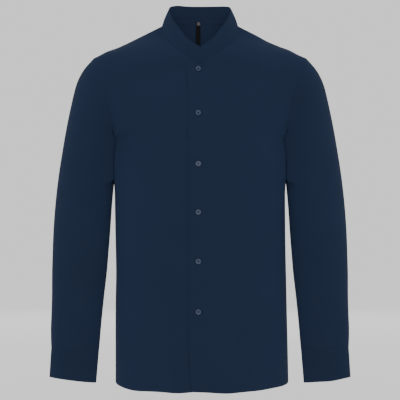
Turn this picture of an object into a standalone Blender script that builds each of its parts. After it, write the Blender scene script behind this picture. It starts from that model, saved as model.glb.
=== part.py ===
"""Mandarin collar shirt, men's medium, in the hollow shape that it has when worn.

Every cloth piece is an open surface, its outer face, with a Solidify wall inside it.
The tables and sizes are in millimetres, and MM turns them into metres, with +Z up.
The front faces -Y. The wearer's left is at +X. The origin lies between the two points
where the neck seam meets the shoulder seams.
"""
import math
from collections import namedtuple

import bmesh
import bpy
import numpy as np
from mathutils import Vector

MM = 0.001
COLLECTION_NAME = "mandarin_collar_shirt"
WELD_DISTANCE = 0.01

# Cloth
WALL = 1.5
BAND_WALL = 1.8
SEAM_GAP = 0.3
LAP_GAP = 0.5

# Neck seam, an oval that dips at the front
NECK_HALF_WIDTH = 79.0
NECK_FRONT_Y = -68.0
NECK_FRONT_Z = -80.0
NECK_FRONT_TAPER = 0.25
NECK_BACK_Y = 52.0
NECK_BACK_Z = 15.5

# Armhole, an oval from the shoulder tip down to the underarm
SHOULDER_TIP_X = 218.0
SHOULDER_TIP_Z = -64.0
UNDERARM_X = 176.4
UNDERARM_Z = -235.0
ARMHOLE_FRONT_Y = -60.0
ARMHOLE_BACK_Y = 62.0
ARMHOLE_FRONT_SCOOP = 9.0
ARMHOLE_BACK_SCOOP = 4.0
SHOULDER_TURN_GAP = 0.8

# Front opening: the right front runs on under the left one to x 16
UNDERLAP_EDGE_X = 16.0
UNDERLAP_FULL_X = -34.0
UNDERLAP_START_X = -80.0
CENTRE_GAP = 0.4
NECK_LAP_GAP = 1.2
NECK_LAP_BASE_Z = -130.0
NECK_LAP_RISE = 40.0

# Mesh fineness
PANEL_COLUMNS = 11
BACK_COLUMNS = 9
LAP_COLUMNS = 2
COLLAR_ROWS = 3
CUFF_ROWS = 3
CUFF_STEP = 12.0
ROW_SAMPLES = 60

# Buttons, 18 line
BUTTON_RADIUS = 5.7
BUTTON_THICKNESS = 2.4
BUTTON_RIM_WIDTH = 1.6
BUTTON_DISH = 0.7
BUTTON_EDGE = 0.5
BUTTON_HOLE_RADIUS = 0.85
BUTTON_HOLE_SPACING = 2.6
BUTTON_STEPS = 20
BUTTON_HOLE_SIDES = 6
BUTTON_X = -3.4
BUTTON_HEIGHTS = (-91.8, -181.9, -284.4, -381.5, -481.1, -582.8)
BUTTON_STAND = 0.5

# Cuff lap, button and the placket over the wrist slit
CUFF_BOTTOM_OUTER_Z = -720.8
CUFF_BOTTOM_INNER_Z = -733.0
CUFF_TOP_Z = -661.0
CUFF_LAP_START = 308.0
CUFF_LAP_TURN = 36.0
CUFF_LAP_EASE = 40.0
CUFF_BUTTON_TURN = 18.0
PLACKET_START_TURN = 308.0
PLACKET_WIDTH = 20.0
PLACKET_WALL = 1.0
PLACKET_GAP = 0.4
PLACKET_COLUMNS = 4
PLACKET_RINGS = 4

# Neck label and size tab, inside the back
LABEL_LEFT_X = -8.3
LABEL_RIGHT_X = 0.4
LABEL_TOP_Z = 14.5
LABEL_LENGTH = 46.0
LABEL_WALL = 1.0
LABEL_STEPS = 6
LABEL_STANDOFF = 2.6
LABEL_SWING = 7.0
TAB_LEFT_X = -6.3
TAB_RIGHT_X = 0.3
TAB_LENGTH = 6.8

# Depth of the centre line of each panel at a height, front and back
Profile = namedtuple("Profile", "z y")
FRONT_CENTRE = (
    Profile(z=-760, y=-117),
    Profile(z=-600, y=-117),
    Profile(z=-450, y=-121),
    Profile(z=-300, y=-124),
    Profile(z=-235, y=-120),
    Profile(z=-180, y=-110),
    Profile(z=-135, y=-95),
    Profile(z=-102, y=-79),
    Profile(z=-80, y=-68),
)
BACK_CENTRE = (
    Profile(z=-760, y=113),
    Profile(z=-600, y=110),
    Profile(z=-450, y=111),
    Profile(z=-300, y=118),
    Profile(z=-200, y=119),
    Profile(z=-140, y=113),
    Profile(z=-80, y=97),
    Profile(z=-30, y=73),
    Profile(z=15.5, y=52),
)

# Half width of the body on each side at a height
Side = namedtuple("Side", "z right_x left_x")
SIDES = (
    Side(z=-760, right_x=174.7, left_x=183.3),
    Side(z=-680, right_x=174.6, left_x=181.8),
    Side(z=-590, right_x=174.8, left_x=179.7),
    Side(z=-510, right_x=173.5, left_x=178.0),
    Side(z=-420, right_x=175.1, left_x=176.3),
    Side(z=-325, right_x=176.3, left_x=175.8),
    Side(z=-235, right_x=176.4, left_x=176.4),
)

# Free edge of the left front at a height
Edge = namedtuple("Edge", "z x")
FREE_EDGE = (
    Edge(z=-760, x=-16.6),
    Edge(z=-690, x=-21.6),
    Edge(z=-630, x=-23.0),
    Edge(z=-226, x=-24.0),
    Edge(z=-116, x=-25.0),
    Edge(z=-80, x=-29.4),
)

# Rows of a panel from the hem up. A row leaves the centre line, or the neck seam once
# neck_angle is past 0, rounds its corner and ends on the side, or on the armhole once
# arm_angle is under 180. Steps is the number of mesh rows up to the next one.
PanelRow = namedtuple(
    "PanelRow",
    "centre_z neck_angle side_z arm_angle corner_x corner_y corner_z fullness steps",
)
FRONT_ROWS = (
    PanelRow(-745, 0, -731, 180, 176, -117, -749, 0.60, 1),
    PanelRow(-714, 0, -706, 180, 176, -117, -716, 0.60, 1),
    PanelRow(-670, 0, -665, 180, 176, -117, -671, 0.60, 2),
    PanelRow(-560, 0, -560, 180, 176, -118, -560, 0.60, 3),
    PanelRow(-400, 0, -400, 180, 176, -122, -400, 0.60, 3),
    PanelRow(-290, 0, -290, 180, 176, -123, -290, 0.60, 2),
    PanelRow(-225, 0, -235, 180, 175, -118, -232, 0.60, 2),
    PanelRow(-178, 0, -235, 140, 166, -112, -196, 0.60, 2),
    PanelRow(-130, 0, -235, 104, 150, -101, -148, 0.60, 2),
    PanelRow(-80, 0, -235, 74, 128, -84, -100, 0.60, 2),
    PanelRow(-80, 22, -235, 59, 131, -77, -82, 0.60, 2),
    PanelRow(-80, 40, -235, 44, 136, -63, -65, 0.61, 3),
    PanelRow(-80, 66, -235, 22, 145, -35, -43, 0.63, 3),
    PanelRow(-80, 90, -235, 0, 148, 0, -35, 0.66, 0),
)
BACK_ROWS = (
    PanelRow(-753, 0, -726, 180, 176, 113, -757, 0.60, 1),
    PanelRow(-722, 0, -704, 180, 176, 113, -724, 0.60, 1),
    PanelRow(-670, 0, -665, 180, 176, 112, -671, 0.60, 2),
    PanelRow(-560, 0, -560, 180, 176, 111, -560, 0.60, 3),
    PanelRow(-400, 0, -400, 180, 176, 113, -400, 0.60, 3),
    PanelRow(-290, 0, -290, 180, 176, 118, -290, 0.60, 2),
    PanelRow(-222, 0, -235, 180, 175, 118, -232, 0.60, 2),
    PanelRow(-158, 0, -235, 142, 166, 115, -190, 0.60, 2),
    PanelRow(-98, 0, -235, 108, 152, 108, -132, 0.60, 2),
    PanelRow(-42, 0, -235, 80, 140, 94, -84, 0.60, 2),
    PanelRow(15.5, 0, -235, 52, 128, 68, -36, 0.60, 4),
    PanelRow(15.5, 50, -235, 25, 146, 36, -28, 0.63, 3),
    PanelRow(15.5, 90, -235, 0, 148, 0, -35, 0.66, 0),
)

# Soft flares of the front where the hem turns out a little
Flare = namedtuple("Flare", "x half_width top_z depth")
HEM_FLARES = (
    Flare(x=-54, half_width=25, top_z=-685, depth=4),
    Flare(x=46, half_width=38, top_z=-680, depth=5),
)

# Upper edge of the collar against the angle of the neck seam below it, and how far the
# band swells out between the two edges
COLLAR_SWELL = 0.018
CollarTop = namedtuple("CollarTop", "angle x y z")
COLLAR_CORNER_ANGLES = (0.0, 3.0)
COLLAR_TOP = (
    CollarTop(angle=0, x=0.4, y=-65, z=-47.5),
    CollarTop(angle=3, x=3.5, y=-65, z=-43),
    CollarTop(angle=8, x=9, y=-64, z=-39.5),
    CollarTop(angle=15, x=17, y=-62, z=-34.5),
    CollarTop(angle=30, x=33, y=-54, z=-17.5),
    CollarTop(angle=45, x=46, y=-42, z=-0.5),
    CollarTop(angle=60, x=56, y=-28, z=13),
    CollarTop(angle=75, x=61.5, y=-13, z=26),
    CollarTop(angle=90, x=64, y=2, z=37.5),
    CollarTop(angle=110, x=60, y=19, z=43.5),
    CollarTop(angle=135, x=46, y=34, z=45.8),
    CollarTop(angle=160, x=22.5, y=43, z=46.2),
    CollarTop(angle=180, x=0, y=46, z=46.2),
)

# Sections of a sleeve from the shoulder to the cuff: the outer and the inner point of
# its outline, half its depth and the middle of that depth. Steps is as for a panel.
SleeveRing = namedtuple("SleeveRing", "out_x out_z in_x in_z depth y steps")
SLEEVE_RINGS = (
    SleeveRing(231, -77.3, 176.9, -237, 62, 1, 1),
    SleeveRing(242, -91.2, 176.9, -241, 64, 1, 1),
    SleeveRing(253.2, -112.8, 176.9, -247, 65, 1, 1),
    SleeveRing(260.8, -138, 176.9, -255, 66, 1, 1),
    SleeveRing(269.8, -178, 176.9, -268, 66, 1, 1),
    SleeveRing(279.0, -225, 176.9, -286, 66, 2, 1),
    SleeveRing(287.4, -275, 177.1, -310, 65, 2, 2),
    SleeveRing(297.5, -350, 181.6, -362, 62, 3, 2),
    SleeveRing(304.2, -447, 187.8, -449, 57, 2, 2),
    SleeveRing(305.7, -555, 198.2, -556, 48, -4, 2),
    SleeveRing(307.2, -625, 205.2, -626, 42, -10, 1),
    SleeveRing(305.8, -660, 208.3, -660, 36, -13, 0),
)

# Sections of a cuff, as for a sleeve
CUFF_TOP = SleeveRing(306.7, CUFF_TOP_Z, 208.5, CUFF_TOP_Z, 35, -13, 0)
CUFF_BOTTOM = SleeveRing(310.9, CUFF_BOTTOM_OUTER_Z, 213.6, CUFF_BOTTOM_INNER_Z, 32, -17, 0)

# Colour, roughness and metallic value of each material
Finish = namedtuple("Finish", "color roughness metallic")
FINISHES = {
    "navy_poplin": Finish((0.012, 0.024, 0.052, 1.0), 0.8, 0.0),
    "slate_button": Finish((0.060, 0.085, 0.125, 1.0), 0.35, 0.0),
    "black_tape": Finish((0.008, 0.008, 0.009, 1.0), 0.6, 0.0),
    "grey_tape": Finish((0.200, 0.200, 0.210, 1.0), 0.7, 0.0),
}


def clear_scene():
    for old in list(bpy.data.objects):
        bpy.data.objects.remove(old, do_unlink=True)


def make_collection(name):
    collection = bpy.data.collections.new(name)
    bpy.context.scene.collection.children.link(collection)
    return collection


def make_material(name):
    finish = FINISHES[name]
    material = bpy.data.materials.new(name)
    material.use_nodes = True
    shader = material.node_tree.nodes["Principled BSDF"]
    shader.inputs["Base Color"].default_value = finish.color
    shader.inputs["Roughness"].default_value = finish.roughness
    shader.inputs["Metallic"].default_value = finish.metallic
    material.diffuse_color = finish.color
    return material


def ease(value):
    """Smooth step from 0 to 1, flat at both ends."""
    t = min(max(value, 0.0), 1.0)
    return t * t * (3.0 - 2.0 * t)


def smooth_table(keys, rows, at):
    """Values of a table at one key, on a smooth curve with no overshoot."""
    rows = np.asarray(rows, dtype=float)
    keys = np.asarray(keys, dtype=float)
    place = min(max(at, keys[0]), keys[-1])
    index = int(min(max(np.searchsorted(keys, place, side="right") - 1, 0), len(keys) - 2))

    def slope(point):
        if point == 0 or point == len(keys) - 1:
            low = min(point, len(keys) - 2)
            return (rows[low + 1] - rows[low]) / (keys[low + 1] - keys[low])
        before = (rows[point] - rows[point - 1]) / (keys[point] - keys[point - 1])
        after = (rows[point + 1] - rows[point]) / (keys[point + 1] - keys[point])
        same_way = before * after > 0.0
        total = np.where(same_way, before + after, 1.0)
        return np.where(same_way, 2.0 * before * after / total, 0.0)

    span = keys[index + 1] - keys[index]
    t = (place - keys[index]) / span
    rise = t * t * (3.0 - 2.0 * t)
    lead = t * (1.0 - t) ** 2 * span
    trail = t * t * (t - 1.0) * span
    curve = rows[index] * (1.0 - rise) + rows[index + 1] * rise
    return curve + slope(index) * lead + slope(index + 1) * trail


def profile_y(profile, z):
    return float(smooth_table([p.z for p in profile], [[p.y] for p in profile], z)[0])


def centre_slope(profile, z):
    """How fast a panel's centre line goes back as it rises."""
    step = 2.0
    return (profile_y(profile, z + step) - profile_y(profile, z - step)) / (2 * step)


def side_x(side, z):
    """Half width of the body at a height; side is -1 for the right, 1 for the left."""
    right, left = smooth_table([s.z for s in SIDES], [[s.right_x, s.left_x] for s in SIDES], z)
    return left if side > 0 else right


def free_edge_x(z):
    return float(smooth_table([e.z for e in FREE_EDGE], [[e.x] for e in FREE_EDGE], z)[0])


def underlap_x(_height):
    """The right front's hidden edge is straight."""
    return UNDERLAP_EDGE_X


def neck_point(angle, is_front):
    """Point of the neck seam at +X; 0 is the centre of the front or back, 90 the shoulder."""
    turn = math.radians(angle)
    depth = NECK_FRONT_Y if is_front else NECK_BACK_Y
    height = NECK_BACK_Z
    if is_front:
        height = NECK_FRONT_Z * (1.0 - NECK_FRONT_TAPER * math.sin(2 * turn))
    return np.array([NECK_HALF_WIDTH * math.sin(turn), depth * math.cos(turn), height * math.cos(turn)])


def armhole_point(angle, is_front):
    """Point of the armhole seam at +X; 0 is the shoulder tip, 180 the underarm."""
    turn = math.radians(angle)
    middle_x = (SHOULDER_TIP_X + UNDERARM_X) / 2
    middle_z = (SHOULDER_TIP_Z + UNDERARM_Z) / 2
    depth = ARMHOLE_FRONT_Y if is_front else ARMHOLE_BACK_Y
    scoop = ARMHOLE_FRONT_SCOOP if is_front else ARMHOLE_BACK_SCOOP
    x = middle_x + (SHOULDER_TIP_X - middle_x) * math.cos(turn) - scoop * math.sin(turn) ** 2
    z = middle_z + (SHOULDER_TIP_Z - middle_z) * math.cos(turn)
    return np.array([x, depth * math.sin(turn), z])


def spread_rows(rows):
    """The values of a table's rows and of the mesh rows between them."""
    values = [row[:-1] for row in rows]
    spread = []
    for index, row in enumerate(rows[:-1]):
        for step in range(row.steps):
            spread.append(smooth_table(range(len(rows)), values, index + step / row.steps))
    spread.append(np.asarray(values[-1], dtype=float))
    return spread


def panel_row(values, side, is_front):
    """Four control points of one row of a panel, on the side given."""
    centre_z, neck_angle, side_z, arm_angle, corner_x, corner_y, corner_z, fullness = values
    centre = FRONT_CENTRE if is_front else BACK_CENTRE
    if neck_angle > 0.0:
        start = neck_point(neck_angle, is_front)
    else:
        start = np.array([0.0, profile_y(centre, centre_z), centre_z])
    if arm_angle < 180.0:
        end = armhole_point(arm_angle, is_front)
        width_change = 0.0
    else:
        end = np.array([side_x(side, side_z), 0.0, side_z])
        width_change = end[0] - UNDERARM_X
    corner = np.array([corner_x + width_change, corner_y, corner_z])
    return np.array([
        start,
        start + fullness * (corner - start),
        end + fullness * (corner - end),
        end,
    ])


def bezier(control, t):
    a, b, c, d = control
    u = 1.0 - t
    return a * u ** 3 + 3 * b * u * u * t + 3 * c * u * t * t + d * t ** 3


def row_point_at_x(control, x):
    """Point of a row in its first half at a given distance from the centre line."""
    samples = [bezier(control, step / ROW_SAMPLES) for step in range(ROW_SAMPLES // 2)]
    reach = [point[0] for point in samples]
    return np.array([np.interp(x, reach, [sample[axis] for sample in samples]) for axis in range(3)])


def hem_flare(point):
    """How far the front stands out at a point, near the hem."""
    out = 0.0
    for flare in HEM_FLARES:
        across = 1.0 - abs(point[0] - flare.x) / flare.half_width
        down = (flare.top_z - point[2]) / (flare.top_z - FRONT_ROWS[0].centre_z)
        out += flare.depth * ease(across) * ease(down) if across > 0.0 else 0.0
    return out


def mesh_object(name, points, faces, collection, material):
    mesh = bpy.data.meshes.new(name)
    mesh.from_pydata([tuple(float(value) * MM for value in point) for point in points], [], faces)
    mesh.materials.append(material)
    item = bpy.data.objects.new(name, mesh)
    collection.objects.link(item)
    return item


def grid_faces(row_count, column_count, first=0, closed=False, flip=False):
    """Quads of a grid whose points are stored row by row."""
    faces = []
    for row in range(row_count - 1):
        for column in range(column_count if closed else column_count - 1):
            beside = (column + 1) % column_count
            low = first + row * column_count
            high = low + column_count
            quad = (low + column, low + beside, high + beside, high + column)
            faces.append(tuple(reversed(quad)) if flip else quad)
    return faces


def weld(item):
    work = bmesh.new()
    work.from_mesh(item.data)
    bmesh.ops.remove_doubles(work, verts=work.verts, dist=WELD_DISTANCE * MM)
    work.to_mesh(item.data)
    work.free()


def add_wall(item, thickness):
    """Cloth thickness inside the outer face."""
    wall = item.modifiers.new("Cloth wall", "SOLIDIFY")
    wall.thickness = thickness * MM
    wall.offset = -1.0
    wall.use_even_offset = True
    item.data.shade_smooth()


def moved_toward(point, target, distance):
    way = target - point
    return point + way * (distance / np.linalg.norm(way))


def seam_edge(point, inside):
    """Edge pulled back from a side or shoulder seam, so that the walls' inner edges part too."""
    way = (inside - point) / np.linalg.norm(inside - point)
    lean = math.sqrt(1.0 - way[1] ** 2)
    return point + way * ((SEAM_GAP / 2 + WALL * lean) / abs(way[1]))


def half_panel(table, side, is_front, columns):
    """Rows of points of half a panel, from its centre line out, with its seams trimmed."""
    rows = []
    for values in spread_rows(table):
        control = panel_row(values, side, is_front)
        row = [bezier(control, column / columns) for column in range(columns + 1)]
        if values[3] < 180.0:
            row[-1] = moved_toward(row[-1], row[-2], SEAM_GAP / 2)
        else:
            row[-1] = seam_edge(row[-1], row[-2])
        rows.append(row)
    rows[-1] = [seam_edge(point, below) for point, below in zip(rows[-1], rows[-2])]
    return rows


def lap_panel(side, edge_at):
    """Rows of points from the centre line to past it, the last one along the neck seam."""
    angles = neck_angles(FRONT_ROWS)[:LAP_COLUMNS + 1]
    shares = [math.sin(math.radians(angle)) / math.sin(math.radians(angles[-1])) for angle in angles]
    lap = []
    for values in spread_rows(FRONT_ROWS):
        if values[1] <= 0.0:
            control = panel_row(values, side, True)
            reach = abs(edge_at(values[0]))
            lap.append([row_point_at_x(control, reach * share) for share in shares])
    reach = lap[-1][-1][0]
    top_angles = [math.degrees(math.asin(reach * share / NECK_HALF_WIDTH)) for share in shares]
    lap.append([neck_point(angle, True) for angle in top_angles])
    return [[np.array([-point[0], point[1], point[2]]) for point in row] for row in lap]


def placed_front_point(point, side):
    """Turn a point of a front to its side, with the flares and the lap under the left one."""
    placed = np.array([point[0] * side, point[1], point[2]])
    placed[1] -= hem_flare(placed)
    if side < 0:
        under = (placed[0] - UNDERLAP_START_X) / (UNDERLAP_FULL_X - UNDERLAP_START_X)
        slope = centre_slope(FRONT_CENTRE, placed[2])
        gap = LAP_GAP + NECK_LAP_GAP * ease((placed[2] - NECK_LAP_BASE_Z) / NECK_LAP_RISE)
        placed[1] += (WALL + gap) * math.hypot(1.0, slope) * ease(under)
    return placed


def make_front(name, side, collection, material):
    """One front; the left one, at +X, laps over the right one at the centre."""
    is_upper = side > 0
    main = half_panel(FRONT_ROWS, side, True, PANEL_COLUMNS)
    lap = lap_panel(side, free_edge_x if is_upper else underlap_x)
    points = [placed_front_point(point, side) for rows in (main, lap) for row in rows for point in row]
    faces = grid_faces(len(main), PANEL_COLUMNS + 1, flip=not is_upper)
    first = len(main) * (PANEL_COLUMNS + 1)
    faces += grid_faces(len(lap), LAP_COLUMNS + 1, first=first, flip=is_upper)
    item = mesh_object(name, points, faces, collection, material)
    weld(item)
    add_wall(item, WALL)
    return item


def make_back(name, collection, material):
    """The back, from two halves that are one below the neck."""
    points = []
    faces = []
    for side in (-1, 1):
        rows = half_panel(BACK_ROWS, side, False, BACK_COLUMNS)
        faces += grid_faces(len(rows), BACK_COLUMNS + 1, first=len(points), flip=side > 0)
        points += [np.array([point[0] * side, point[1], point[2]]) for row in rows for point in row]
    item = mesh_object(name, points, faces, collection, material)
    weld(item)
    add_wall(item, WALL)
    return item


def neck_angles(table):
    """Angles at which the rows of a panel end in the neck seam, from the centre out."""
    return [0.0] + [values[1] for values in spread_rows(table) if values[1] > 0.0]


def armhole_turns():
    """Turns round the armhole at which the rows of the front and of the back end in it."""
    front = [values[3] for values in reversed(spread_rows(FRONT_ROWS)) if values[3] < 180.0]
    back = [360.0 - values[3] for values in spread_rows(BACK_ROWS) if 0.0 < values[3] < 180.0]
    return front + [180.0] + back


def collar_angles():
    """Angles of the collar's columns: the neck's, with more at the rounded front corner."""
    front = list(COLLAR_CORNER_ANGLES) + neck_angles(FRONT_ROWS)[1:]
    back = [180.0 - angle for angle in reversed(neck_angles(BACK_ROWS)[:-1])]
    return front + back


def collar_foot(angle):
    """Point of the neck seam on the straight stretch between two of its columns."""
    if angle > 90.0:
        return neck_point(180.0 - angle, False)
    ends = neck_angles(FRONT_ROWS)
    last = int(np.searchsorted(ends, angle, side="left"))
    if ends[last] == angle:
        return neck_point(angle, True)
    share = (angle - ends[last - 1]) / (ends[last] - ends[last - 1])
    return neck_point(ends[last - 1], True) * (1.0 - share) + neck_point(ends[last], True) * share


def collar_column(angle, side):
    """Points up the collar from the neck seam, at an angle from the centre front."""
    foot = collar_foot(angle)
    keys = [key.angle for key in COLLAR_TOP]
    top = smooth_table(keys, [key[1:] for key in COLLAR_TOP], angle)
    foot[0] = max(foot[0], CENTRE_GAP)
    if angle < 180.0:
        top[0] = max(top[0], CENTRE_GAP)
    foot = moved_toward(foot, top, SEAM_GAP)
    column = []
    for row in range(COLLAR_ROWS + 1):
        t = row / COLLAR_ROWS
        point = foot * (1.0 - t) + top * t
        point[:2] *= 1.0 + COLLAR_SWELL * math.sin(math.pi * t)
        column.append(np.array([point[0] * side, point[1], point[2]]))
    return column


def make_collar(name, collection, material):
    angles = collar_angles()
    columns = [collar_column(angle, 1) for angle in angles]
    columns += [collar_column(angle, -1) for angle in reversed(angles[:-1])]
    points = [point for column in columns for point in column]
    faces = grid_faces(len(columns), COLLAR_ROWS + 1, flip=True)
    item = mesh_object(name, points, faces, collection, material)
    add_wall(item, BAND_WALL)
    return item


def ring_point(ring, turn, inset=0.0):
    """Point of a sleeve section at +X; turn 0 is its outer line, 90 the front, 180 the inner."""
    outer = np.array([ring.out_x, ring.y, ring.out_z])
    inner = np.array([ring.in_x, ring.y, ring.in_z])
    middle = (outer + inner) / 2
    arm = (outer - inner) / 2
    arm *= 1.0 - inset / np.linalg.norm(arm)
    point = middle + arm * math.cos(math.radians(turn))
    point[1] -= (ring.depth - inset) * math.sin(math.radians(turn))
    return point


def armhole_ring():
    """First ring of the sleeve: the armhole, moved out across its own plane by the seam gap."""
    drop = np.array([SHOULDER_TIP_X - UNDERARM_X, 0.0, SHOULDER_TIP_Z - UNDERARM_Z])
    across = np.array([drop[2], 0.0, -drop[0]]) / np.linalg.norm(drop)
    ring = []
    for turn in armhole_turns():
        is_front = turn <= 180.0
        point = armhole_point(turn if is_front else 360.0 - turn, is_front)
        top_share = ((1.0 + math.cos(math.radians(turn))) / 2) ** 2
        ring.append(point + across * (SEAM_GAP + SHOULDER_TURN_GAP * top_share))
    return ring


def sleeve_grid():
    """Rings of points of the left sleeve, from the armhole down to the cuff."""
    rings = [armhole_ring()]
    turns = armhole_turns()
    for values in spread_rows(SLEEVE_RINGS):
        ring = SleeveRing(*values, steps=0)
        rings.append([ring_point(ring, turn) for turn in turns])
    return rings


def to_side(points, side):
    return [np.array([point[0] * side, point[1], point[2]]) for point in points]


def make_sleeve(name, side, collection, material):
    rings = sleeve_grid()
    points = to_side([point for ring in rings for point in ring], side)
    faces = grid_faces(len(rings), len(rings[0]), closed=True, flip=side < 0)
    item = mesh_object(name, points, faces, collection, material)
    add_wall(item, WALL)
    return item


def along_ring(ring, first, distance):
    """Point and direction of a ring of points at a distance from one of its columns."""
    column = first
    left = distance
    while True:
        start = ring[column]
        end = ring[(column + 1) % len(ring)]
        length = np.linalg.norm(end - start)
        if left <= length:
            return start + (end - start) * (left / length), (end - start) / length
        left -= length
        column = (column + 1) % len(ring)


def make_sleeve_placket(name, side, collection, material):
    """Strip over the wrist slit, from the sleeve's own points moved out."""
    rings = sleeve_grid()[-PLACKET_RINGS:]
    first = int(np.searchsorted(armhole_turns(), PLACKET_START_TURN))
    down = rings[-1][first] - rings[0][first]
    points = []
    for ring in rings:
        for column in range(PLACKET_COLUMNS + 1):
            point, way = along_ring(ring, first, PLACKET_WIDTH * column / PLACKET_COLUMNS)
            out = np.cross(way, down)
            points.append(point + out / np.linalg.norm(out) * (PLACKET_GAP + PLACKET_WALL))
    faces = grid_faces(len(rings), PLACKET_COLUMNS + 1, flip=side < 0)
    item = mesh_object(name, to_side(points, side), faces, collection, material)
    add_wall(item, PLACKET_WALL)
    return item


def cuff_point(turn_from_end, down):
    """Point of the left cuff's outer face; the end from turn 0 lies under the other one."""
    under = 1.0 - ease((turn_from_end - CUFF_LAP_TURN) / CUFF_LAP_EASE)
    inset = (BAND_WALL + LAP_GAP) * under
    turn = CUFF_LAP_START + turn_from_end
    top = ring_point(CUFF_TOP, turn, inset)
    bottom = ring_point(CUFF_BOTTOM, turn, inset)
    return top * (1.0 - down) + bottom * down


def make_cuff(name, side, collection, material):
    turns = [CUFF_STEP * column for column in range(int((360 + CUFF_LAP_TURN) / CUFF_STEP) + 1)]
    points = []
    for row in range(CUFF_ROWS + 1):
        points += [cuff_point(turn, row / CUFF_ROWS) for turn in turns]
    faces = grid_faces(CUFF_ROWS + 1, len(turns), flip=side < 0)
    item = mesh_object(name, to_side(points, side), faces, collection, material)
    add_wall(item, BAND_WALL)
    return item


def make_hanging_strip(name, left_x, right_x, length, standoff, collection, material):
    """A narrow tape that hangs from the neck seam inside the back."""
    points = []
    for step in range(LABEL_STEPS + 1):
        fall = length * step / LABEL_STEPS
        z = LABEL_TOP_Z - fall
        y = profile_y(BACK_CENTRE, z) - standoff - LABEL_SWING * (fall / LABEL_LENGTH) ** 2
        points += [(left_x, y, z), (right_x, y, z)]
    faces = grid_faces(LABEL_STEPS + 1, 2)
    item = mesh_object(name, points, faces, collection, material)
    add_wall(item, LABEL_WALL)
    return item


def button_mesh(collection, material):
    """A turned button with a dished face and four thread holes, face up on the XY plane."""
    face = BUTTON_THICKNESS - BUTTON_DISH
    well = BUTTON_RADIUS - BUTTON_RIM_WIDTH
    outline = (
        (0.0, face),
        (well - BUTTON_DISH / 2, face),
        (well, BUTTON_THICKNESS),
        (BUTTON_RADIUS - BUTTON_EDGE, BUTTON_THICKNESS),
        (BUTTON_RADIUS, BUTTON_THICKNESS - BUTTON_EDGE),
        (BUTTON_RADIUS, BUTTON_EDGE),
        (BUTTON_RADIUS - BUTTON_EDGE, 0.0),
        (0.0, 0.0),
    )
    mesh = bpy.data.meshes.new("button_profile")
    edges = [(index, index + 1) for index in range(len(outline) - 1)]
    mesh.from_pydata([(x * MM, 0.0, z * MM) for x, z in outline], edges, [])
    blank = bpy.data.objects.new("button_blank", mesh)
    collection.objects.link(blank)
    turn = blank.modifiers.new("Turned", "SCREW")
    turn.steps = BUTTON_STEPS
    turn.render_steps = BUTTON_STEPS
    turn.use_merge_vertices = True
    turn.merge_threshold = WELD_DISTANCE * MM

    drill = bmesh.new()
    for x in (-BUTTON_HOLE_SPACING / 2, BUTTON_HOLE_SPACING / 2):
        for y in (-BUTTON_HOLE_SPACING / 2, BUTTON_HOLE_SPACING / 2):
            made = bmesh.ops.create_cone(
                drill, cap_ends=True, segments=BUTTON_HOLE_SIDES,
                radius1=BUTTON_HOLE_RADIUS * MM, radius2=BUTTON_HOLE_RADIUS * MM,
                depth=BUTTON_THICKNESS * 3 * MM,
            )
            bmesh.ops.translate(drill, verts=made["verts"], vec=Vector((x, y, 0.0)) * MM)
    drill_mesh = bpy.data.meshes.new("button_drill")
    drill.to_mesh(drill_mesh)
    drill.free()
    cutter = bpy.data.objects.new("button_drill", drill_mesh)
    collection.objects.link(cutter)
    holes = blank.modifiers.new("Thread holes", "BOOLEAN")
    holes.operation = "DIFFERENCE"
    holes.solver = "EXACT"
    holes.object = cutter

    bpy.context.view_layer.update()
    evaluated = blank.evaluated_get(bpy.context.evaluated_depsgraph_get())
    finished = bpy.data.meshes.new_from_object(evaluated)
    finished.name = "button"
    finished.materials.clear()
    finished.materials.append(material)
    finished.shade_smooth()
    finished.set_sharp_from_angle(angle=math.radians(30))
    bpy.data.objects.remove(blank, do_unlink=True)
    bpy.data.objects.remove(cutter, do_unlink=True)
    return finished


def place_button(name, mesh, point, normal, collection):
    """Set a button on the cloth, its back just clear of it and its face outward."""
    item = bpy.data.objects.new(name, mesh)
    collection.objects.link(item)
    out = Vector(normal).normalized()
    item.location = (Vector(point) + out * BUTTON_STAND) * MM
    item.rotation_euler = out.to_track_quat("Z", "Y").to_euler()
    return item


def placket_button_seat(z):
    """Point and normal of the left front's face under a button."""
    return (BUTTON_X, profile_y(FRONT_CENTRE, z), z), (0.0, -1.0, centre_slope(FRONT_CENTRE, z))


def cuff_button_seat(side):
    """Point and normal of the cuff's lap under its button."""
    turn = 360.0 + CUFF_BUTTON_TURN
    step = 2.0
    point = cuff_point(turn, 0.5)
    around = cuff_point(turn + step, 0.5) - cuff_point(turn - step, 0.5)
    down = cuff_point(turn, 0.6) - cuff_point(turn, 0.4)
    out = np.cross(around, down)
    if np.dot(out, point - cuff_point(turn + 180.0, 0.5)) < 0.0:
        out = -out
    return (point[0] * side, point[1], point[2]), (out[0] * side, out[1], out[2])


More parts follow.
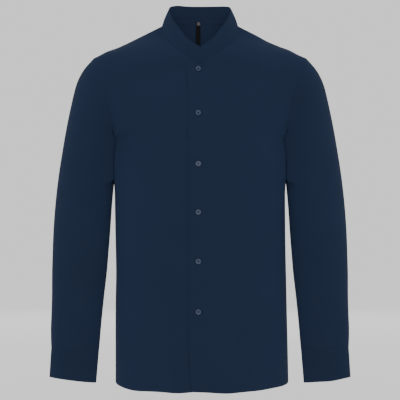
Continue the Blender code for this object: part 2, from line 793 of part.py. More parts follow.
def main():
    clear_scene()
    parts = make_collection(COLLECTION_NAME)
    cloth = make_material("navy_poplin")
    slate = make_material("slate_button")

    make_front("front_left", 1, parts, cloth)
    make_front("front_right", -1, parts, cloth)
    make_back("back", parts, cloth)
    make_collar("collar", parts, cloth)
    for side, label in ((-1, "right"), (1, "left")):
        make_sleeve("sleeve_" + label, side, parts, cloth)
        make_sleeve_placket("sleeve_placket_" + label, side, parts, cloth)
        make_cuff("cuff_" + label, side, parts, cloth)

    tape = make_material("black_tape")
    make_hanging_strip(
        "neck_label", LABEL_LEFT_X, LABEL_RIGHT_X, LABEL_LENGTH, LABEL_STANDOFF, parts, tape)
    tab_standoff = LABEL_STANDOFF + LABEL_WALL + SEAM_GAP
    grey = make_material("grey_tape")
    make_hanging_strip("size_tab", TAB_LEFT_X, TAB_RIGHT_X, TAB_LENGTH, tab_standoff, parts, grey)

    button = button_mesh(parts, slate)
    for number, z in enumerate(BUTTON_HEIGHTS, start=1):
        point, normal = placket_button_seat(z)
        place_button("button_%d" % number, button, point, normal, parts)
    for side, label in ((-1, "right"), (1, "left")):
        point, normal = cuff_button_seat(side)
        place_button("cuff_button_" + label, button, point, normal, parts)


main()
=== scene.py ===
"""Looks of the mandarin collar shirt: thin cloth on the frame's forms, with its seams,
stitching, creases, buttons and tapes. All sizes are in metres, with +Z up.
"""
import math
from collections import namedtuple

import bmesh
import bpy
import numpy as np
from mathutils import Matrix, Vector
from mathutils.bvhtree import BVHTree
from mathutils.kdtree import KDTree


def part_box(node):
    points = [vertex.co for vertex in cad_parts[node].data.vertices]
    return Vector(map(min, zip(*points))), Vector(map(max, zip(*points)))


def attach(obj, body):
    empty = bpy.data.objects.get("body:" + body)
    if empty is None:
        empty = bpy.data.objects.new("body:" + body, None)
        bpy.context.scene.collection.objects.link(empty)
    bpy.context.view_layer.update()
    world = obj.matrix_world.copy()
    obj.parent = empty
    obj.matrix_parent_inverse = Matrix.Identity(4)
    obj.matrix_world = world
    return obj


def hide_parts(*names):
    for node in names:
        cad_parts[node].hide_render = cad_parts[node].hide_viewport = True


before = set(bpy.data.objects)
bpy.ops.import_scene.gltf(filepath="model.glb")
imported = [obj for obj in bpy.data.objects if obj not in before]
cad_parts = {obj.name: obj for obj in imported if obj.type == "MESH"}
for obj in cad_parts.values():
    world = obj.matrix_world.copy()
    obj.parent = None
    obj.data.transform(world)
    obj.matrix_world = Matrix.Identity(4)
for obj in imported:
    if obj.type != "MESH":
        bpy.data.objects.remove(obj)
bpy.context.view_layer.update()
ROOT = "root"
SIDES = (("left", 1), ("right", -1))
FRONT_FACE = -1
BACK_FACE = 1
UP = Vector((0.0, 0.0, 1.0))
FORWARD = Vector((0.0, -1.0, 0.0))
BACKWARD = Vector((0.0, 1.0, 0.0))

# Camera and room
CAMERA_DISTANCE = 4.5
CAMERA_HEIGHT = -0.3574
CAMERA_LENS = 195.9
CAMERA_SENSOR = 36.0
FLOOR_HEIGHT = -0.83
FLOOR_RADIUS = 9.0
FLOOR_SIDES = 96
FLOOR_GLOW = 0.78
SKY_STRENGTH = 1.0
WHITE = (1.0, 1.0, 1.0, 1.0)

# Soft studio light: a lamp's place, what it points at, its width and its power in watts
Lamp = namedtuple("Lamp", "name place target size power")
LAMPS = (
    Lamp("front", (0.0, -4.8, 0.5), (0.0, 0.0, -0.35), 2.0, 64.5),
    Lamp("front_left", (-1.3, -4.6, 0.2), (0.0, 0.0, -0.35), 1.2, 46.0),
    Lamp("front_right", (1.3, -4.6, 0.2), (0.0, 0.0, -0.35), 1.2, 43.0),
    Lamp("behind", (0.0, 4.6, 0.9), (0.0, 0.0, -0.35), 2.0, 60.0),
    Lamp("neck", (0.0, -0.03, -0.10), (0.0, 0.085, -0.035), 0.07, 0.11),
)

# Poplin: two tones mottled broadly and finely, and a matt surface with a faint sheen
Poplin = namedtuple("Poplin", "name dark light")
BODY_POPLIN = Poplin(
    "navy_poplin_cloth", (0.0091, 0.0159, 0.0346, 1.0), (0.0120, 0.0206, 0.0450, 1.0))
BAND_POPLIN = Poplin(
    "navy_band_cloth", (0.0089, 0.0156, 0.0340, 1.0), (0.0117, 0.0202, 0.0442, 1.0))
BROAD_MOTTLE_SCALE = 9.0
BROAD_MOTTLE_SHARE = 0.65
FINE_MOTTLE_SCALE = 900.0
FINE_MOTTLE_SHARE = 0.35
POPLIN_SMOOTHEST = 0.74
POPLIN_ROUGHEST = 0.90
POPLIN_SURFACE = {
    "Diffuse Roughness": 1.0,
    "Specular IOR Level": 0.04,
    "Sheen Weight": 0.012,
    "Sheen Roughness": 0.5,
    "Sheen Tint": (0.30, 0.42, 0.62, 1.0),
}
THREAD_PITCH = 0.00036
SLUB_SCALE = 70.0
Bump = namedtuple("Bump", "strength distance")
WEAVE_BUMP = Bump(0.35, 0.00007)
SLUB_BUMP = Bump(0.22, 0.0010)
MOTTLE_BUMP = Bump(0.25, 0.00005)

# Thread, tapes and the floor's paint: one colour with a fine mottle
PlainFinish = namedtuple("PlainFinish", "name color roughness mottle mottle_scale specular")
THREAD = PlainFinish("navy_thread", (0.0092, 0.0170, 0.0370), 0.8, 0.25, 3000.0, 0.08)
BLACK_TAPE = PlainFinish("black_tape_weave", (0.0034, 0.0034, 0.0038), 0.7, 0.4, 2500.0, 0.05)
GREY_TAPE = PlainFinish("grey_tape_weave", (0.056, 0.056, 0.060), 0.7, 0.1, 2500.0, 0.1)
FLOOR_PAINT = PlainFinish("studio_paint", (0.22, 0.22, 0.22), 0.9, 0.004, 3.0, 0.0)

# Resin of the buttons: tones at a reach from the middle, as a share of the radius. The paler rim
# tone is painted highlight, the lamps' glint on the raised rim put into the colour
RESIN_MIDDLE = (0.018, 0.027, 0.052, 1.0)
# painted highlight: the raised rim's glint, as a paler colour
RESIN_RIM_PAINTED_HIGHLIGHT = (0.038, 0.052, 0.088, 1.0)
RESIN_EDGE = (0.014, 0.023, 0.045, 1.0)
RESIN_MIDDLE_REACH = 0.55
# the two rim stops paint the rim's highlight; the last stop is darker at the outer edge
RESIN_TONES = ((0.70, RESIN_RIM_PAINTED_HIGHLIGHT), (0.86, RESIN_RIM_PAINTED_HIGHLIGHT), (0.95, RESIN_EDGE))
RESIN_SWIRL_SCALE = 350.0
RESIN_SWIRL = 0.16
RESIN_ROUGHNESS = 0.35
RESIN_SPECULAR = 0.16

# Cloth
CLOTH_THICKNESS = 0.0005
BAND_THICKNESS = 0.0012
TAPE_THICKNESS = 0.0005
SHARP_ANGLE = 50.0
SMOOTH_ANGLE = 60.0
MERGE_DISTANCE = 0.00002
CLOTH_LEVELS = 3
BAND_LEVELS = 4
TAPE_LEVELS = 2
FIT_ROUNDS = 4

# Where the edges of the sheets lie in the frame
HEM_BELOW_Z = -0.70
FLANK_BEYOND_X = 0.165
FLANK_BELOW_Z = -0.24
RIDGE_HALF_DEPTH = 0.004
RIDGE_ABOVE_Z = -0.070
PLACKET_EDGE_BELOW_X = 0.02
SLEEVE_HEAD_ABOVE_Z = -0.26
WRIST_BELOW_Z = -0.60
WRIST_BAND = 0.02
CuffEdge = namedtuple("CuffEdge", "name low high")
CUFF_EDGES = (CuffEdge("hem", -0.76, -0.715), CuffEdge("seam", -0.675, -0.65))
SLEEVE_PLACKET_FACING_Y = 0.4
STEEPEST_LEVEL = 0.5
FLATTEST_UPRIGHT = 0.6

# The collar's foot rises from the front to the back; its middle lies this far above it
COLLAR_FRONT_Y = -0.068
COLLAR_BACK_Y = 0.052
COLLAR_FOOT_FRONT_Z = -0.080
COLLAR_FOOT_RISE = 0.0955
COLLAR_MIDDLE = 0.018
COLLAR_POINTS_Z = -0.053

# Sewn edges up to this far apart in the frame are drawn together by this share
SEAM_REACH = 0.0020
SEAM_DRAW = 0.96
BUTT_GAP = 0.0004
BUTT_DRAW = 0.00034
BUTT_REACH = 0.005

# The right front comes up under the left one, further near the neck, where the frame
# keeps them wider apart
LAP_START_X = -0.080
LAP_FULL_X = -0.034
LAP_LIFT = 0.0012
NECK_LIFT = 0.0015
NECK_LIFT_FROM = -0.130
NECK_LIFT_TO = -0.085

# The left front's free edge lies down on it, but for a few small gapes: heights of their
# middles, half lengths and how far they stand off
EDGE_SETTLE = 0.0001
EDGE_REACH = 0.010
Gape = namedtuple("Gape", "height half_length lift")
EDGE_GAPES = (
    Gape(-0.1205, 0.006, 0.0015),
    Gape(-0.2250, 0.009, 0.0016),
    Gape(-0.6360, 0.008, 0.0017),
    Gape(-0.6860, 0.020, 0.0010),
)

# Armpit fold: the body's cloth swells forward of the side into a hollow of the sleeve.
# It fades in from INNER_START to INNER_FULL, and out from OUTER_START to OUTER_END.
ARMPIT_TOP = -0.208
ARMPIT_LOW = -0.350
ARMPIT_FOLD_Y = -0.030
ARMPIT_FOLD_WIDTH = 0.018
ARMPIT_FOLD_DEPTH = 0.0038
ARMPIT_INNER_START_X = 0.150
ARMPIT_INNER_FULL_X = 0.165
ARMPIT_OUTER_START_X = 0.195
ARMPIT_OUTER_END_X = 0.215
ARMPIT_FULLNESS = 0.6

# Cloth of the body bunched below the armpit: how far it swells out towards the sleeve, in
# front of the arm and behind it
Bunch = namedtuple("Bunch", "y width swell")
FRONT_BUNCH = Bunch(-0.040, 0.016, 0.0030)
BACK_BUNCH = Bunch(0.044, 0.017, 0.0026)
BUNCH_TOP = -0.222
BUNCH_LOW = -0.338
BUNCH_SEAM_FADE = 0.026

# The sleeve's inner side lies against the body from the armhole down to NESTLE_FULL, and
# leaves it at NESTLE_LOW. The body is looked for from a little outside the sleeve.
NESTLE_LOW = -0.327
NESTLE_FULL = -0.313
NESTLE_HALF_DEPTH = 0.034
NESTLE_FADE = 0.017
NESTLE_SEAM_FADE = 0.004
NESTLE_OUTER_START_X = 0.203
NESTLE_OUTER_END_X = 0.218
NESTLE_GAP = 0.0004
NESTLE_LOOK_FROM = 0.02
NESTLE_LOOK_REACH = 0.06

# Small rises (above 0) and drops along the hem, the left cuff's hem, the collar's top and
# the shoulders, and the heights between which they fade in
Wave = namedtuple("Wave", "x half_width rise")
HEM_WAVES = (
    Wave(-0.136, 0.026, -0.0024),
    Wave(-0.046, 0.022, -0.0014),
    Wave(-0.013, 0.006, 0.0009),
    Wave(0.056, 0.030, -0.0020),
    Wave(0.150, 0.022, 0.0014),
)
HEM_WAVE_HEIGHTS = (-0.690, -0.745)
CUFF_WAVES = (Wave(0.270, 0.022, -0.0020),)
CUFF_WAVE_HEIGHTS = (-0.700, -0.732)
COLLAR_WAVES = (Wave(-0.046, 0.014, 0.0015),)
COLLAR_WAVE_HEIGHTS = (0.008, 0.036)
SHOULDER_WAVES = (
    Wave(-0.192, 0.017, 0.0024),
    Wave(0.184, 0.014, 0.0021),
    Wave(0.139, 0.015, -0.0015),
)
SHOULDER_WAVE_HEIGHTS = (-0.110, -0.066)

# Where sleeves and cuffs fill out sideways, about the middle of their width
Swell = namedtuple("Swell", "height half_length amount")
SLEEVE_SWELLS = (Swell(-0.510, 0.034, 0.0007), Swell(-0.662, 0.050, 0.0008))
SLEEVE_MIDDLE_X = 0.255
SLEEVE_HALF_WIDTH = 0.050

# Seam allowances, turned in behind the seams; the rows run across them, as shares
SEAM_ALLOWANCE = 0.007
SEAM_ROWS = (-1.0, -0.5, -0.12, 0.12, 0.5, 1.0)
SEAM_CLOTH = 0.0004
SEAM_DEPTH = 0.0009
BAND_SEAM_DEPTH = 0.0016
PANEL_DEPTHS = (SEAM_DEPTH, SEAM_DEPTH)

# Stitches, and how far their rows stand in from an edge
STITCH_LENGTH = 0.0024
STITCH_GAP = 0.0009
STITCH_RADIUS = 0.00019
STITCH_LIFT = 0.4 * STITCH_RADIUS
HEM_INSET = 0.007
EDGE_INSET = 0.0022
SHORTEST_STEP = 1e-9

# Buttons, as in the frame
BUTTON_COUNT = 6
BUTTON_RADIUS = 0.0057
BUTTON_HEIGHT = 0.0024
BUTTON_SIDES = 40
BUTTON_RIM = 0.0013
BUTTON_SLOPE = 0.0006
BUTTON_DISH = 0.0007
BUTTON_ROUNDING = 0.00035
BUTTON_EDGE_ANGLE = 35.0
BUTTON_LIFT = 0.0003
HOLE_RADIUS = 0.00078
HOLE_SIDES = 12
HOLE_SPACING = 0.0026
THREAD_RADIUS = 0.00034
THREAD_LOOP_RADIUS = 0.707 * HOLE_SPACING
THREAD_LOOP_FLATNESS = 0.38
LOOK_FROM_Y = -0.5

# Buttonholes: a ring of close thread, made narrow, longer and lower by these factors
BUTTONHOLE_RADIUS = 0.0062
BUTTONHOLE_CORD = 0.00055
BUTTONHOLE_SHAPE = (0.20, 1.12, 0.55)
BUTTONHOLE_LIFT = 0.0001

# How creases die away: at their ends, at a sheet's edge and round its side
CREASE_END_SHARE = 0.03
CREASE_FULLNESS = 0.7
CREASE_EDGE_FADE = 0.014
CREASE_SIDE_FADE = 0.03
FRONT_MIDDLE_Y = -0.02
BACK_MIDDLE_Y = 0.02
SLEEVE_MIDDLE_Y = 0.0

# Soft troughs (depth below 0) and ridges of the cloth. A crease follows points (x, z)
# on the front or the back face, for the wearer's left side; width is its half width.
Crease = namedtuple("Crease", "points width depth")
ARMHOLE_FOLDS_FRONT = (
    Crease(((0.204, -0.112), (0.187, -0.160), (0.178, -0.222)), 0.021, -0.0050),
)
ARMHOLE_FOLDS_BACK = (
    Crease(((0.200, -0.118), (0.186, -0.168), (0.178, -0.224)), 0.020, -0.0042),
)
FRONT_CREASES = {
    "left": (
        Crease(((0.136, -0.190), (0.158, -0.222), (0.175, -0.262)), 0.014, -0.0024),
        Crease(((0.118, -0.262), (0.150, -0.300), (0.174, -0.352)), 0.020, 0.0022),
        Crease(((0.128, -0.430), (0.152, -0.452), (0.174, -0.462)), 0.018, -0.0020),
        Crease(((0.112, -0.560), (0.146, -0.572), (0.176, -0.602)), 0.022, 0.0020),
        Crease(((0.060, -0.115), (0.104, -0.122), (0.150, -0.108)), 0.018, -0.0012),
        Crease(((0.052, -0.600), (0.060, -0.680), (0.056, -0.745)), 0.018, 0.0020),
    ),
    "right": (
        Crease(((0.130, -0.204), (0.156, -0.240), (0.175, -0.286)), 0.013, -0.0022),
        Crease(((0.120, -0.330), (0.148, -0.362), (0.174, -0.392)), 0.019, 0.0024),
        Crease(((0.112, -0.452), (0.142, -0.474), (0.174, -0.470)), 0.017, -0.0022),
        Crease(((0.124, -0.620), (0.152, -0.640), (0.174, -0.672)), 0.022, 0.0018),
        Crease(((0.058, -0.102), (0.098, -0.112), (0.140, -0.104)), 0.017, -0.0011),
        Crease(((0.048, -0.640), (0.054, -0.700), (0.056, -0.748)), 0.016, 0.0022),
    ),
}
BACK_CREASES = (
    Crease(((0.156, -0.120), (0.164, -0.180), (0.168, -0.236)), 0.016, 0.0020),
    Crease(((0.090, -0.130), (0.116, -0.230), (0.112, -0.330)), 0.024, -0.0026),
    Crease(((0.052, -0.420), (0.066, -0.560), (0.050, -0.700)), 0.030, 0.0028),
    Crease(((-0.046, -0.380), (-0.066, -0.540), (-0.058, -0.720)), 0.028, 0.0024),
    Crease(((-0.102, -0.150), (-0.120, -0.240), (-0.104, -0.360)), 0.022, -0.0022),
    Crease(((-0.154, -0.126), (-0.163, -0.184), (-0.168, -0.238)), 0.017, 0.0019),
    Crease(((-0.110, -0.440), (-0.144, -0.462), (-0.174, -0.458)), 0.018, -0.0022),
    Crease(((0.118, -0.500), (0.148, -0.522), (0.176, -0.520)), 0.018, -0.0020),
)
SLEEVE_FRONT_CREASES = (
    Crease(((0.186, -0.206), (0.200, -0.258), (0.196, -0.318)), 0.015, -0.0036),
    Crease(((0.190, -0.330), (0.216, -0.362), (0.246, -0.372)), 0.013, -0.0024),
    Crease(((0.190, -0.420), (0.222, -0.436), (0.258, -0.428)), 0.014, -0.0028),
    Crease(((0.196, -0.462), (0.226, -0.486), (0.252, -0.490)), 0.012, -0.0022),
    Crease(((0.206, -0.540), (0.230, -0.560), (0.262, -0.556)), 0.014, 0.0018),
    Crease(((0.218, -0.600), (0.240, -0.630), (0.248, -0.658)), 0.010, -0.0020),
    Crease(((0.282, -0.610), (0.278, -0.636), (0.276, -0.658)), 0.009, -0.0018),
)
SLEEVE_BACK_CREASES = (
    Crease(((0.188, -0.204), (0.204, -0.260), (0.204, -0.330)), 0.016, -0.0034),
    Crease(((0.230, -0.400), (0.262, -0.412), (0.296, -0.404)), 0.015, 0.0022),
    Crease(((0.222, -0.452), (0.256, -0.466), (0.298, -0.452)), 0.014, -0.0026),
    Crease(((0.242, -0.600), (0.248, -0.634), (0.246, -0.658)), 0.009, -0.0022),
    Crease(((0.270, -0.596), (0.268, -0.630), (0.266, -0.658)), 0.009, 0.0016),
)


# ---------------------------------------------------------------- at the bench

def deselect_all():
    if bpy.context.object and bpy.context.object.mode != "OBJECT":
        bpy.ops.object.mode_set(mode="OBJECT")
    bpy.ops.object.select_all(action="DESELECT")


def make_active(piece):
    deselect_all()
    piece.select_set(True)
    bpy.context.view_layer.objects.active = piece


def open_for_editing(piece):
    """Puts a piece in edit mode, selected all over."""
    make_active(piece)
    bpy.ops.object.mode_set(mode="EDIT")
    bpy.ops.mesh.select_all(action="SELECT")


def close_editing():
    bpy.ops.object.mode_set(mode="OBJECT")


def apply_modifiers(piece):
    make_active(piece)
    for modifier in list(piece.modifiers):
        bpy.ops.object.modifier_apply(modifier=modifier.name)


def new_piece(name, mesh):
    piece = bpy.data.objects.new(name, mesh)
    bpy.context.scene.collection.objects.link(piece)
    return piece


def take_mesh(piece):
    """A copy of a piece's mesh; the piece itself goes."""
    mesh = piece.data.copy()
    bpy.data.objects.remove(piece, do_unlink=True)
    return mesh


def vertex_array(mesh):
    flat = np.empty(len(mesh.vertices) * 3)
    mesh.vertices.foreach_get("co", flat)
    return flat.reshape(-1, 3)


def normal_array(mesh):
    flat = np.empty(len(mesh.vertices) * 3)
    mesh.vertices.foreach_get("normal", flat)
    return flat.reshape(-1, 3)


def write_vertices(mesh, places):
    mesh.vertices.foreach_set("co", places.ravel())
    mesh.update()


# ---------------------------------------------------------------- materials

def new_material(name):
    material = bpy.data.materials.new(name)
    material.use_nodes = True
    nodes = material.node_tree.nodes
    return material, nodes, material.node_tree.links, nodes["Principled BSDF"]


def scaled_noise(nodes, links, source, scale, detail, roughness=0.5):
    noise = nodes.new("ShaderNodeTexNoise")
    noise.inputs["Scale"].default_value = scale
    noise.inputs["Detail"].default_value = detail
    noise.inputs["Roughness"].default_value = roughness
    links.new(source, noise.inputs["Vector"])
    return noise.outputs["Fac"]


def math_node(nodes, links, operation, first, second=0.0):
    node = nodes.new("ShaderNodeMath")
    node.operation = operation
    for socket, value in zip(node.inputs, (first, second)):
        if isinstance(value, (int, float)):
            socket.default_value = value
        else:
            links.new(value, socket)
    return node.outputs[0]


def mix_tones(nodes, links, factor, first, second):
    tone = nodes.new("ShaderNodeMix")
    tone.data_type = "RGBA"
    tone.inputs["A"].default_value = first
    tone.inputs["B"].default_value = second
    links.new(factor, tone.inputs["Factor"])
    return tone.outputs["Result"]


def add_bump(nodes, links, height, bump, under=None):
    node = nodes.new("ShaderNodeBump")
    node.inputs["Strength"].default_value = bump.strength
    node.inputs["Distance"].default_value = bump.distance
    links.new(height, node.inputs["Height"])
    if under:
        links.new(under, node.inputs["Normal"])
    return node.outputs["Normal"]


def weave_height(nodes, links):
    """Over-and-under threads of a plain weave, from the cloth's own flat cut."""
    flat = nodes.new("ShaderNodeUVMap")
    flat.uv_map = "cut"
    parts = nodes.new("ShaderNodeSeparateXYZ")
    links.new(flat.outputs["UV"], parts.inputs[0])
    turn = math.pi / THREAD_PITCH
    across = math_node(nodes, links, "MULTIPLY", parts.outputs["X"], turn)
    along = math_node(nodes, links, "MULTIPLY", parts.outputs["Y"], turn)
    warp = math_node(nodes, links, "SINE", across)
    weft = math_node(nodes, links, "SINE", along)
    crossing = math_node(nodes, links, "MULTIPLY", warp, weft)
    warp_round = math_node(nodes, links, "ABSOLUTE", warp)
    weft_round = math_node(nodes, links, "ABSOLUTE", weft)
    threads = math_node(nodes, links, "ADD", warp_round, weft_round)
    half = math_node(nodes, links, "MULTIPLY", threads, 0.5)
    return math_node(nodes, links, "ADD", half, crossing)


def make_poplin(cloth):
    material, nodes, links, shader = new_material(cloth.name)
    place = nodes.new("ShaderNodeTexCoord").outputs["Object"]
    broad = scaled_noise(nodes, links, place, BROAD_MOTTLE_SCALE, 3.0)
    fine = scaled_noise(nodes, links, place, FINE_MOTTLE_SCALE, 2.0)
    mixed = math_node(nodes, links, "ADD",
                      math_node(nodes, links, "MULTIPLY", broad, BROAD_MOTTLE_SHARE),
                      math_node(nodes, links, "MULTIPLY", fine, FINE_MOTTLE_SHARE))
    tone = mix_tones(nodes, links, mixed, cloth.dark, cloth.light)
    links.new(tone, shader.inputs["Base Color"])
    rough = nodes.new("ShaderNodeMapRange")
    rough.inputs["To Min"].default_value = POPLIN_SMOOTHEST
    rough.inputs["To Max"].default_value = POPLIN_ROUGHEST
    links.new(fine, rough.inputs["Value"])
    links.new(rough.outputs["Result"], shader.inputs["Roughness"])
    for socket, value in POPLIN_SURFACE.items():
        shader.inputs[socket].default_value = value
    weave = add_bump(nodes, links, weave_height(nodes, links), WEAVE_BUMP)
    slubs = scaled_noise(nodes, links, place, SLUB_SCALE, 4.0, 0.6)
    links.new(add_bump(nodes, links, slubs, SLUB_BUMP, weave), shader.inputs["Normal"])
    return material


def make_plain_finish(finish):
    """A finish with a fine mottle in its colour and its surface."""
    material, nodes, links, shader = new_material(finish.name)
    place = nodes.new("ShaderNodeTexCoord").outputs["Object"]
    fine = scaled_noise(nodes, links, place, finish.mottle_scale, 3.0)
    dark = [channel * (1.0 - finish.mottle) for channel in finish.color] + [1.0]
    light = [channel * (1.0 + finish.mottle) for channel in finish.color] + [1.0]
    links.new(mix_tones(nodes, links, fine, dark, light), shader.inputs["Base Color"])
    shader.inputs["Roughness"].default_value = finish.roughness
    shader.inputs["Specular IOR Level"].default_value = finish.specular
    links.new(add_bump(nodes, links, fine, MOTTLE_BUMP), shader.inputs["Normal"])
    return material


def make_resin(name):
    """Polished resin, with a painted highlight: paler round the raised rim of a button."""
    material, nodes, links, shader = new_material(name)
    flat = nodes.new("ShaderNodeUVMap")
    flat.uv_map = "turned"
    reach = nodes.new("ShaderNodeVectorMath")
    reach.operation = "LENGTH"
    links.new(flat.outputs["UV"], reach.inputs[0])
    place = nodes.new("ShaderNodeTexCoord").outputs["Object"]
    swirl = scaled_noise(nodes, links, place, RESIN_SWIRL_SCALE, 3.0)
    at = math_node(nodes, links, "ADD", reach.outputs["Value"],
                   math_node(nodes, links, "MULTIPLY", swirl, RESIN_SWIRL))
    ramp = nodes.new("ShaderNodeValToRGB")
    stops = ramp.color_ramp.elements
    stops.remove(stops[1])
    stops[0].position = RESIN_MIDDLE_REACH
    stops[0].color = RESIN_MIDDLE
    # the rim stops paint the raised rim's highlight into the base colour
    for position, tone in RESIN_TONES:
        stops.new(position).color = tone
    links.new(at, ramp.inputs["Fac"])
    links.new(ramp.outputs["Color"], shader.inputs["Base Color"])
    shader.inputs["Roughness"].default_value = RESIN_ROUGHNESS
    shader.inputs["Specular IOR Level"].default_value = RESIN_SPECULAR
    return material


# ---------------------------------------------------------------- shares and distances

def smooth_step(value):
    t = np.clip(value, 0.0, 1.0)
    return t * t * (3.0 - 2.0 * t)


def fade_in(value, start, full):
    """0 up to the start, 1 from the full value on, and smooth between them."""
    return smooth_step((value - start) / (full - start))


def bell(distance, half_width):
    return np.exp(-(distance / half_width) ** 2)


def arch(value, low, high, fullness):
    """0 at both ends of a span and 1 at its middle; fuller for a smaller number."""
    share = np.clip((value - low) / (high - low), 0.0, 1.0)
    return np.sin(np.pi * share) ** fullness


def point_tree(points):
    tree = KDTree(len(points))
    for index, place in enumerate(points):
        tree.insert(place, index)
    tree.balance()
    return tree


def edge_fade(mesh, reach):
    """0 at the sheet's edge, growing to 1 at a reach from it."""
    work = bmesh.new()
    work.from_mesh(mesh)
    tree = point_tree([vert.co.copy() for vert in work.verts if vert.is_boundary])
    away = np.array([min(tree.find(vert.co)[2], reach) for vert in work.verts])
    work.free()
    return smooth_step(away / reach)


def polyline_distance(points, polyline):
    """Distance of each (x, z) from a line of points, and how far along the line it is."""
    polyline = np.asarray(polyline)
    lengths = np.linalg.norm(np.diff(polyline, axis=0), axis=1)
    total = lengths.sum()
    best = np.full(len(points), np.inf)
    along = np.zeros(len(points))
    walked = 0.0
    for start, end, length in zip(polyline[:-1], polyline[1:], lengths):
        way = (end - start) / length
        reach = np.clip((points - start) @ way, 0.0, length)
        gap = np.linalg.norm(points - start - reach[:, None] * way, axis=1)
        closer = gap < best
        best[closer] = gap[closer]
        along[closer] = (walked + reach[closer]) / total
        walked += length
    return best, along


def surface_tree(piece):
    return BVHTree.FromObject(piece, bpy.context.evaluated_depsgraph_get())


def nearest_of(trees, place):
    """The nearest point on any of some surfaces: its place, normal, face and distance."""
    return min((tree.find_nearest(place) for tree in trees), key=lambda hit: hit[3])


# ---------------------------------------------------------------- cloth sheets

def smooth_regions(work):
    """Faces in groups, parted where the surface turns sharply."""
    limit = math.radians(SHARP_ANGLE)
    seen = set()
    regions = []
    for start in work.faces:
        if start.index in seen:
            continue
        seen.add(start.index)
        region = [start]
        waiting = [start]
        while waiting:
            face = waiting.pop()
            for edge in face.edges:
                if len(edge.link_faces) != 2 or edge.calc_face_angle(0.0) > limit:
                    continue
                for beside in edge.link_faces:
                    if beside.index not in seen:
                        seen.add(beside.index)
                        region.append(beside)
                        waiting.append(beside)
        regions.append(region)
    return regions


def outer_face(node_name, piece_name, facing=None):
    """A copy of a cloth solid's mesh, merged and cut down to its outer face."""
    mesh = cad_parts[node_name].data.copy()
    mesh.name = piece_name
    work = bmesh.new()
    work.from_mesh(mesh)
    bmesh.ops.remove_doubles(work, verts=work.verts, dist=MERGE_DISTANCE)
    work.faces.ensure_lookup_table()

    def weight(region):
        if facing is None:
            return sum(face.calc_area() for face in region)
        return sum(face.calc_area() * face.normal.dot(facing) for face in region)

    kept = set(max(smooth_regions(work), key=weight))
    spare = [face for face in work.faces if face not in kept]
    bmesh.ops.delete(work, geom=spare, context="FACES")
    bmesh.ops.join_triangles(
        work, faces=work.faces, angle_face_threshold=math.pi, angle_shape_threshold=math.pi)
    work.to_mesh(mesh)
    work.free()
    mesh.materials.clear()
    return new_piece(piece_name, mesh)


def underarm_seam(mesh):
    """Edges of a sleeve's seam, from the lowest point of the armhole down to the cuff."""
    work = bmesh.new()
    work.from_mesh(mesh)
    wrist_level = min(vert.co.z for vert in work.verts) + WRIST_BAND
    head = [vert for vert in work.verts if vert.is_boundary and vert.co.z > wrist_level]
    vert = min(head, key=lambda v: v.co.z)
    edge = next(e for e in vert.link_edges if not e.is_boundary)
    chain = [edge.index]
    vert = edge.other_vert(vert)
    while not vert.is_boundary:
        faces = set(edge.link_faces)
        others = [e for e in vert.link_edges if e is not edge]
        onward = [e for e in others if not faces & set(e.link_faces)] or others
        edge = min(onward, key=lambda e: e.other_vert(vert).co.z)
        chain.append(edge.index)
        vert = edge.other_vert(vert)
    work.free()
    return chain


def ring_area(ring):
    """Area of a flat polygon."""
    after = np.roll(ring, -1, axis=0)
    return abs((ring[:, 0] * after[:, 1] - ring[:, 1] * after[:, 0]).sum()) / 2


def lay_flat(piece, seam_edges=()):
    """Gives the sheet its flat cut as a UV map in metres, warp upwards; returns its size."""
    mesh = piece.data
    mesh.uv_layers.active = mesh.uv_layers.new(name="cut")
    for index in seam_edges:
        mesh.edges[index].use_seam = True
    open_for_editing(piece)
    bpy.ops.uv.unwrap(method="ANGLE_BASED", margin=0.0)
    close_editing()
    layer = mesh.uv_layers["cut"]
    count = len(mesh.loops)
    flat = np.empty(count * 2)
    layer.data.foreach_get("uv", flat)
    flat = flat.reshape(-1, 2)
    corner = np.empty(count, dtype=np.int64)
    mesh.loops.foreach_get("vertex_index", corner)
    heights = vertex_array(mesh)[corner][:, 2]
    real_area = sum(face.area for face in mesh.polygons)
    flat_area = sum(ring_area(flat[face.loop_start:face.loop_start + face.loop_total])
                    for face in mesh.polygons)
    flat *= math.sqrt(real_area / flat_area)
    centred = np.column_stack([flat, np.ones(count)])
    slope = np.linalg.lstsq(centred, heights, rcond=None)[0][:2]
    slope /= np.linalg.norm(slope)
    flat = flat @ np.array([[slope[1], slope[0]], [-slope[0], slope[1]]])
    flat -= flat.min(axis=0)
    layer.data.foreach_set("uv", flat.ravel())
    size = flat.max(axis=0)
    return float(size[0]), float(size[1]), real_area


def refine(piece, levels):
    """Smooths a sheet so that it still passes through the frame's own points."""
    smoother = piece.modifiers.new("Smooth cloth", "SUBSURF")
    smoother.levels = levels
    smoother.render_levels = levels
    smoother.boundary_smooth = "PRESERVE_CORNERS"
    wanted = vertex_array(piece.data)
    steered = wanted.copy()
    for _ in range(FIT_ROUNDS):
        graph = bpy.context.evaluated_depsgraph_get()
        graph.update()
        smooth = vertex_array(piece.evaluated_get(graph).data)[:len(wanted)]
        steered += wanted - smooth
        write_vertices(piece.data, steered)
        piece.update_tag()
        bpy.context.view_layer.update()
    apply_modifiers(piece)


def give_thickness(piece, thickness):
    wall = piece.modifiers.new("Cloth wall", "SOLIDIFY")
    wall.thickness = thickness
    wall.offset = -1.0
    wall.use_even_offset = False
    apply_modifiers(piece)
    piece.data.shade_smooth()
    make_active(piece)
    bpy.ops.object.shade_smooth_by_angle(angle=math.radians(SMOOTH_ANGLE))


def finish_sheet(piece, node, thickness, material):
    """Gives a sheet its wall and its finish."""
    give_thickness(piece, thickness)
    piece.data.materials.clear()
    piece.data.materials.append(material)
    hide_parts(node)
    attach(piece, ROOT)


# ---------------------------------------------------------------- creases and folds

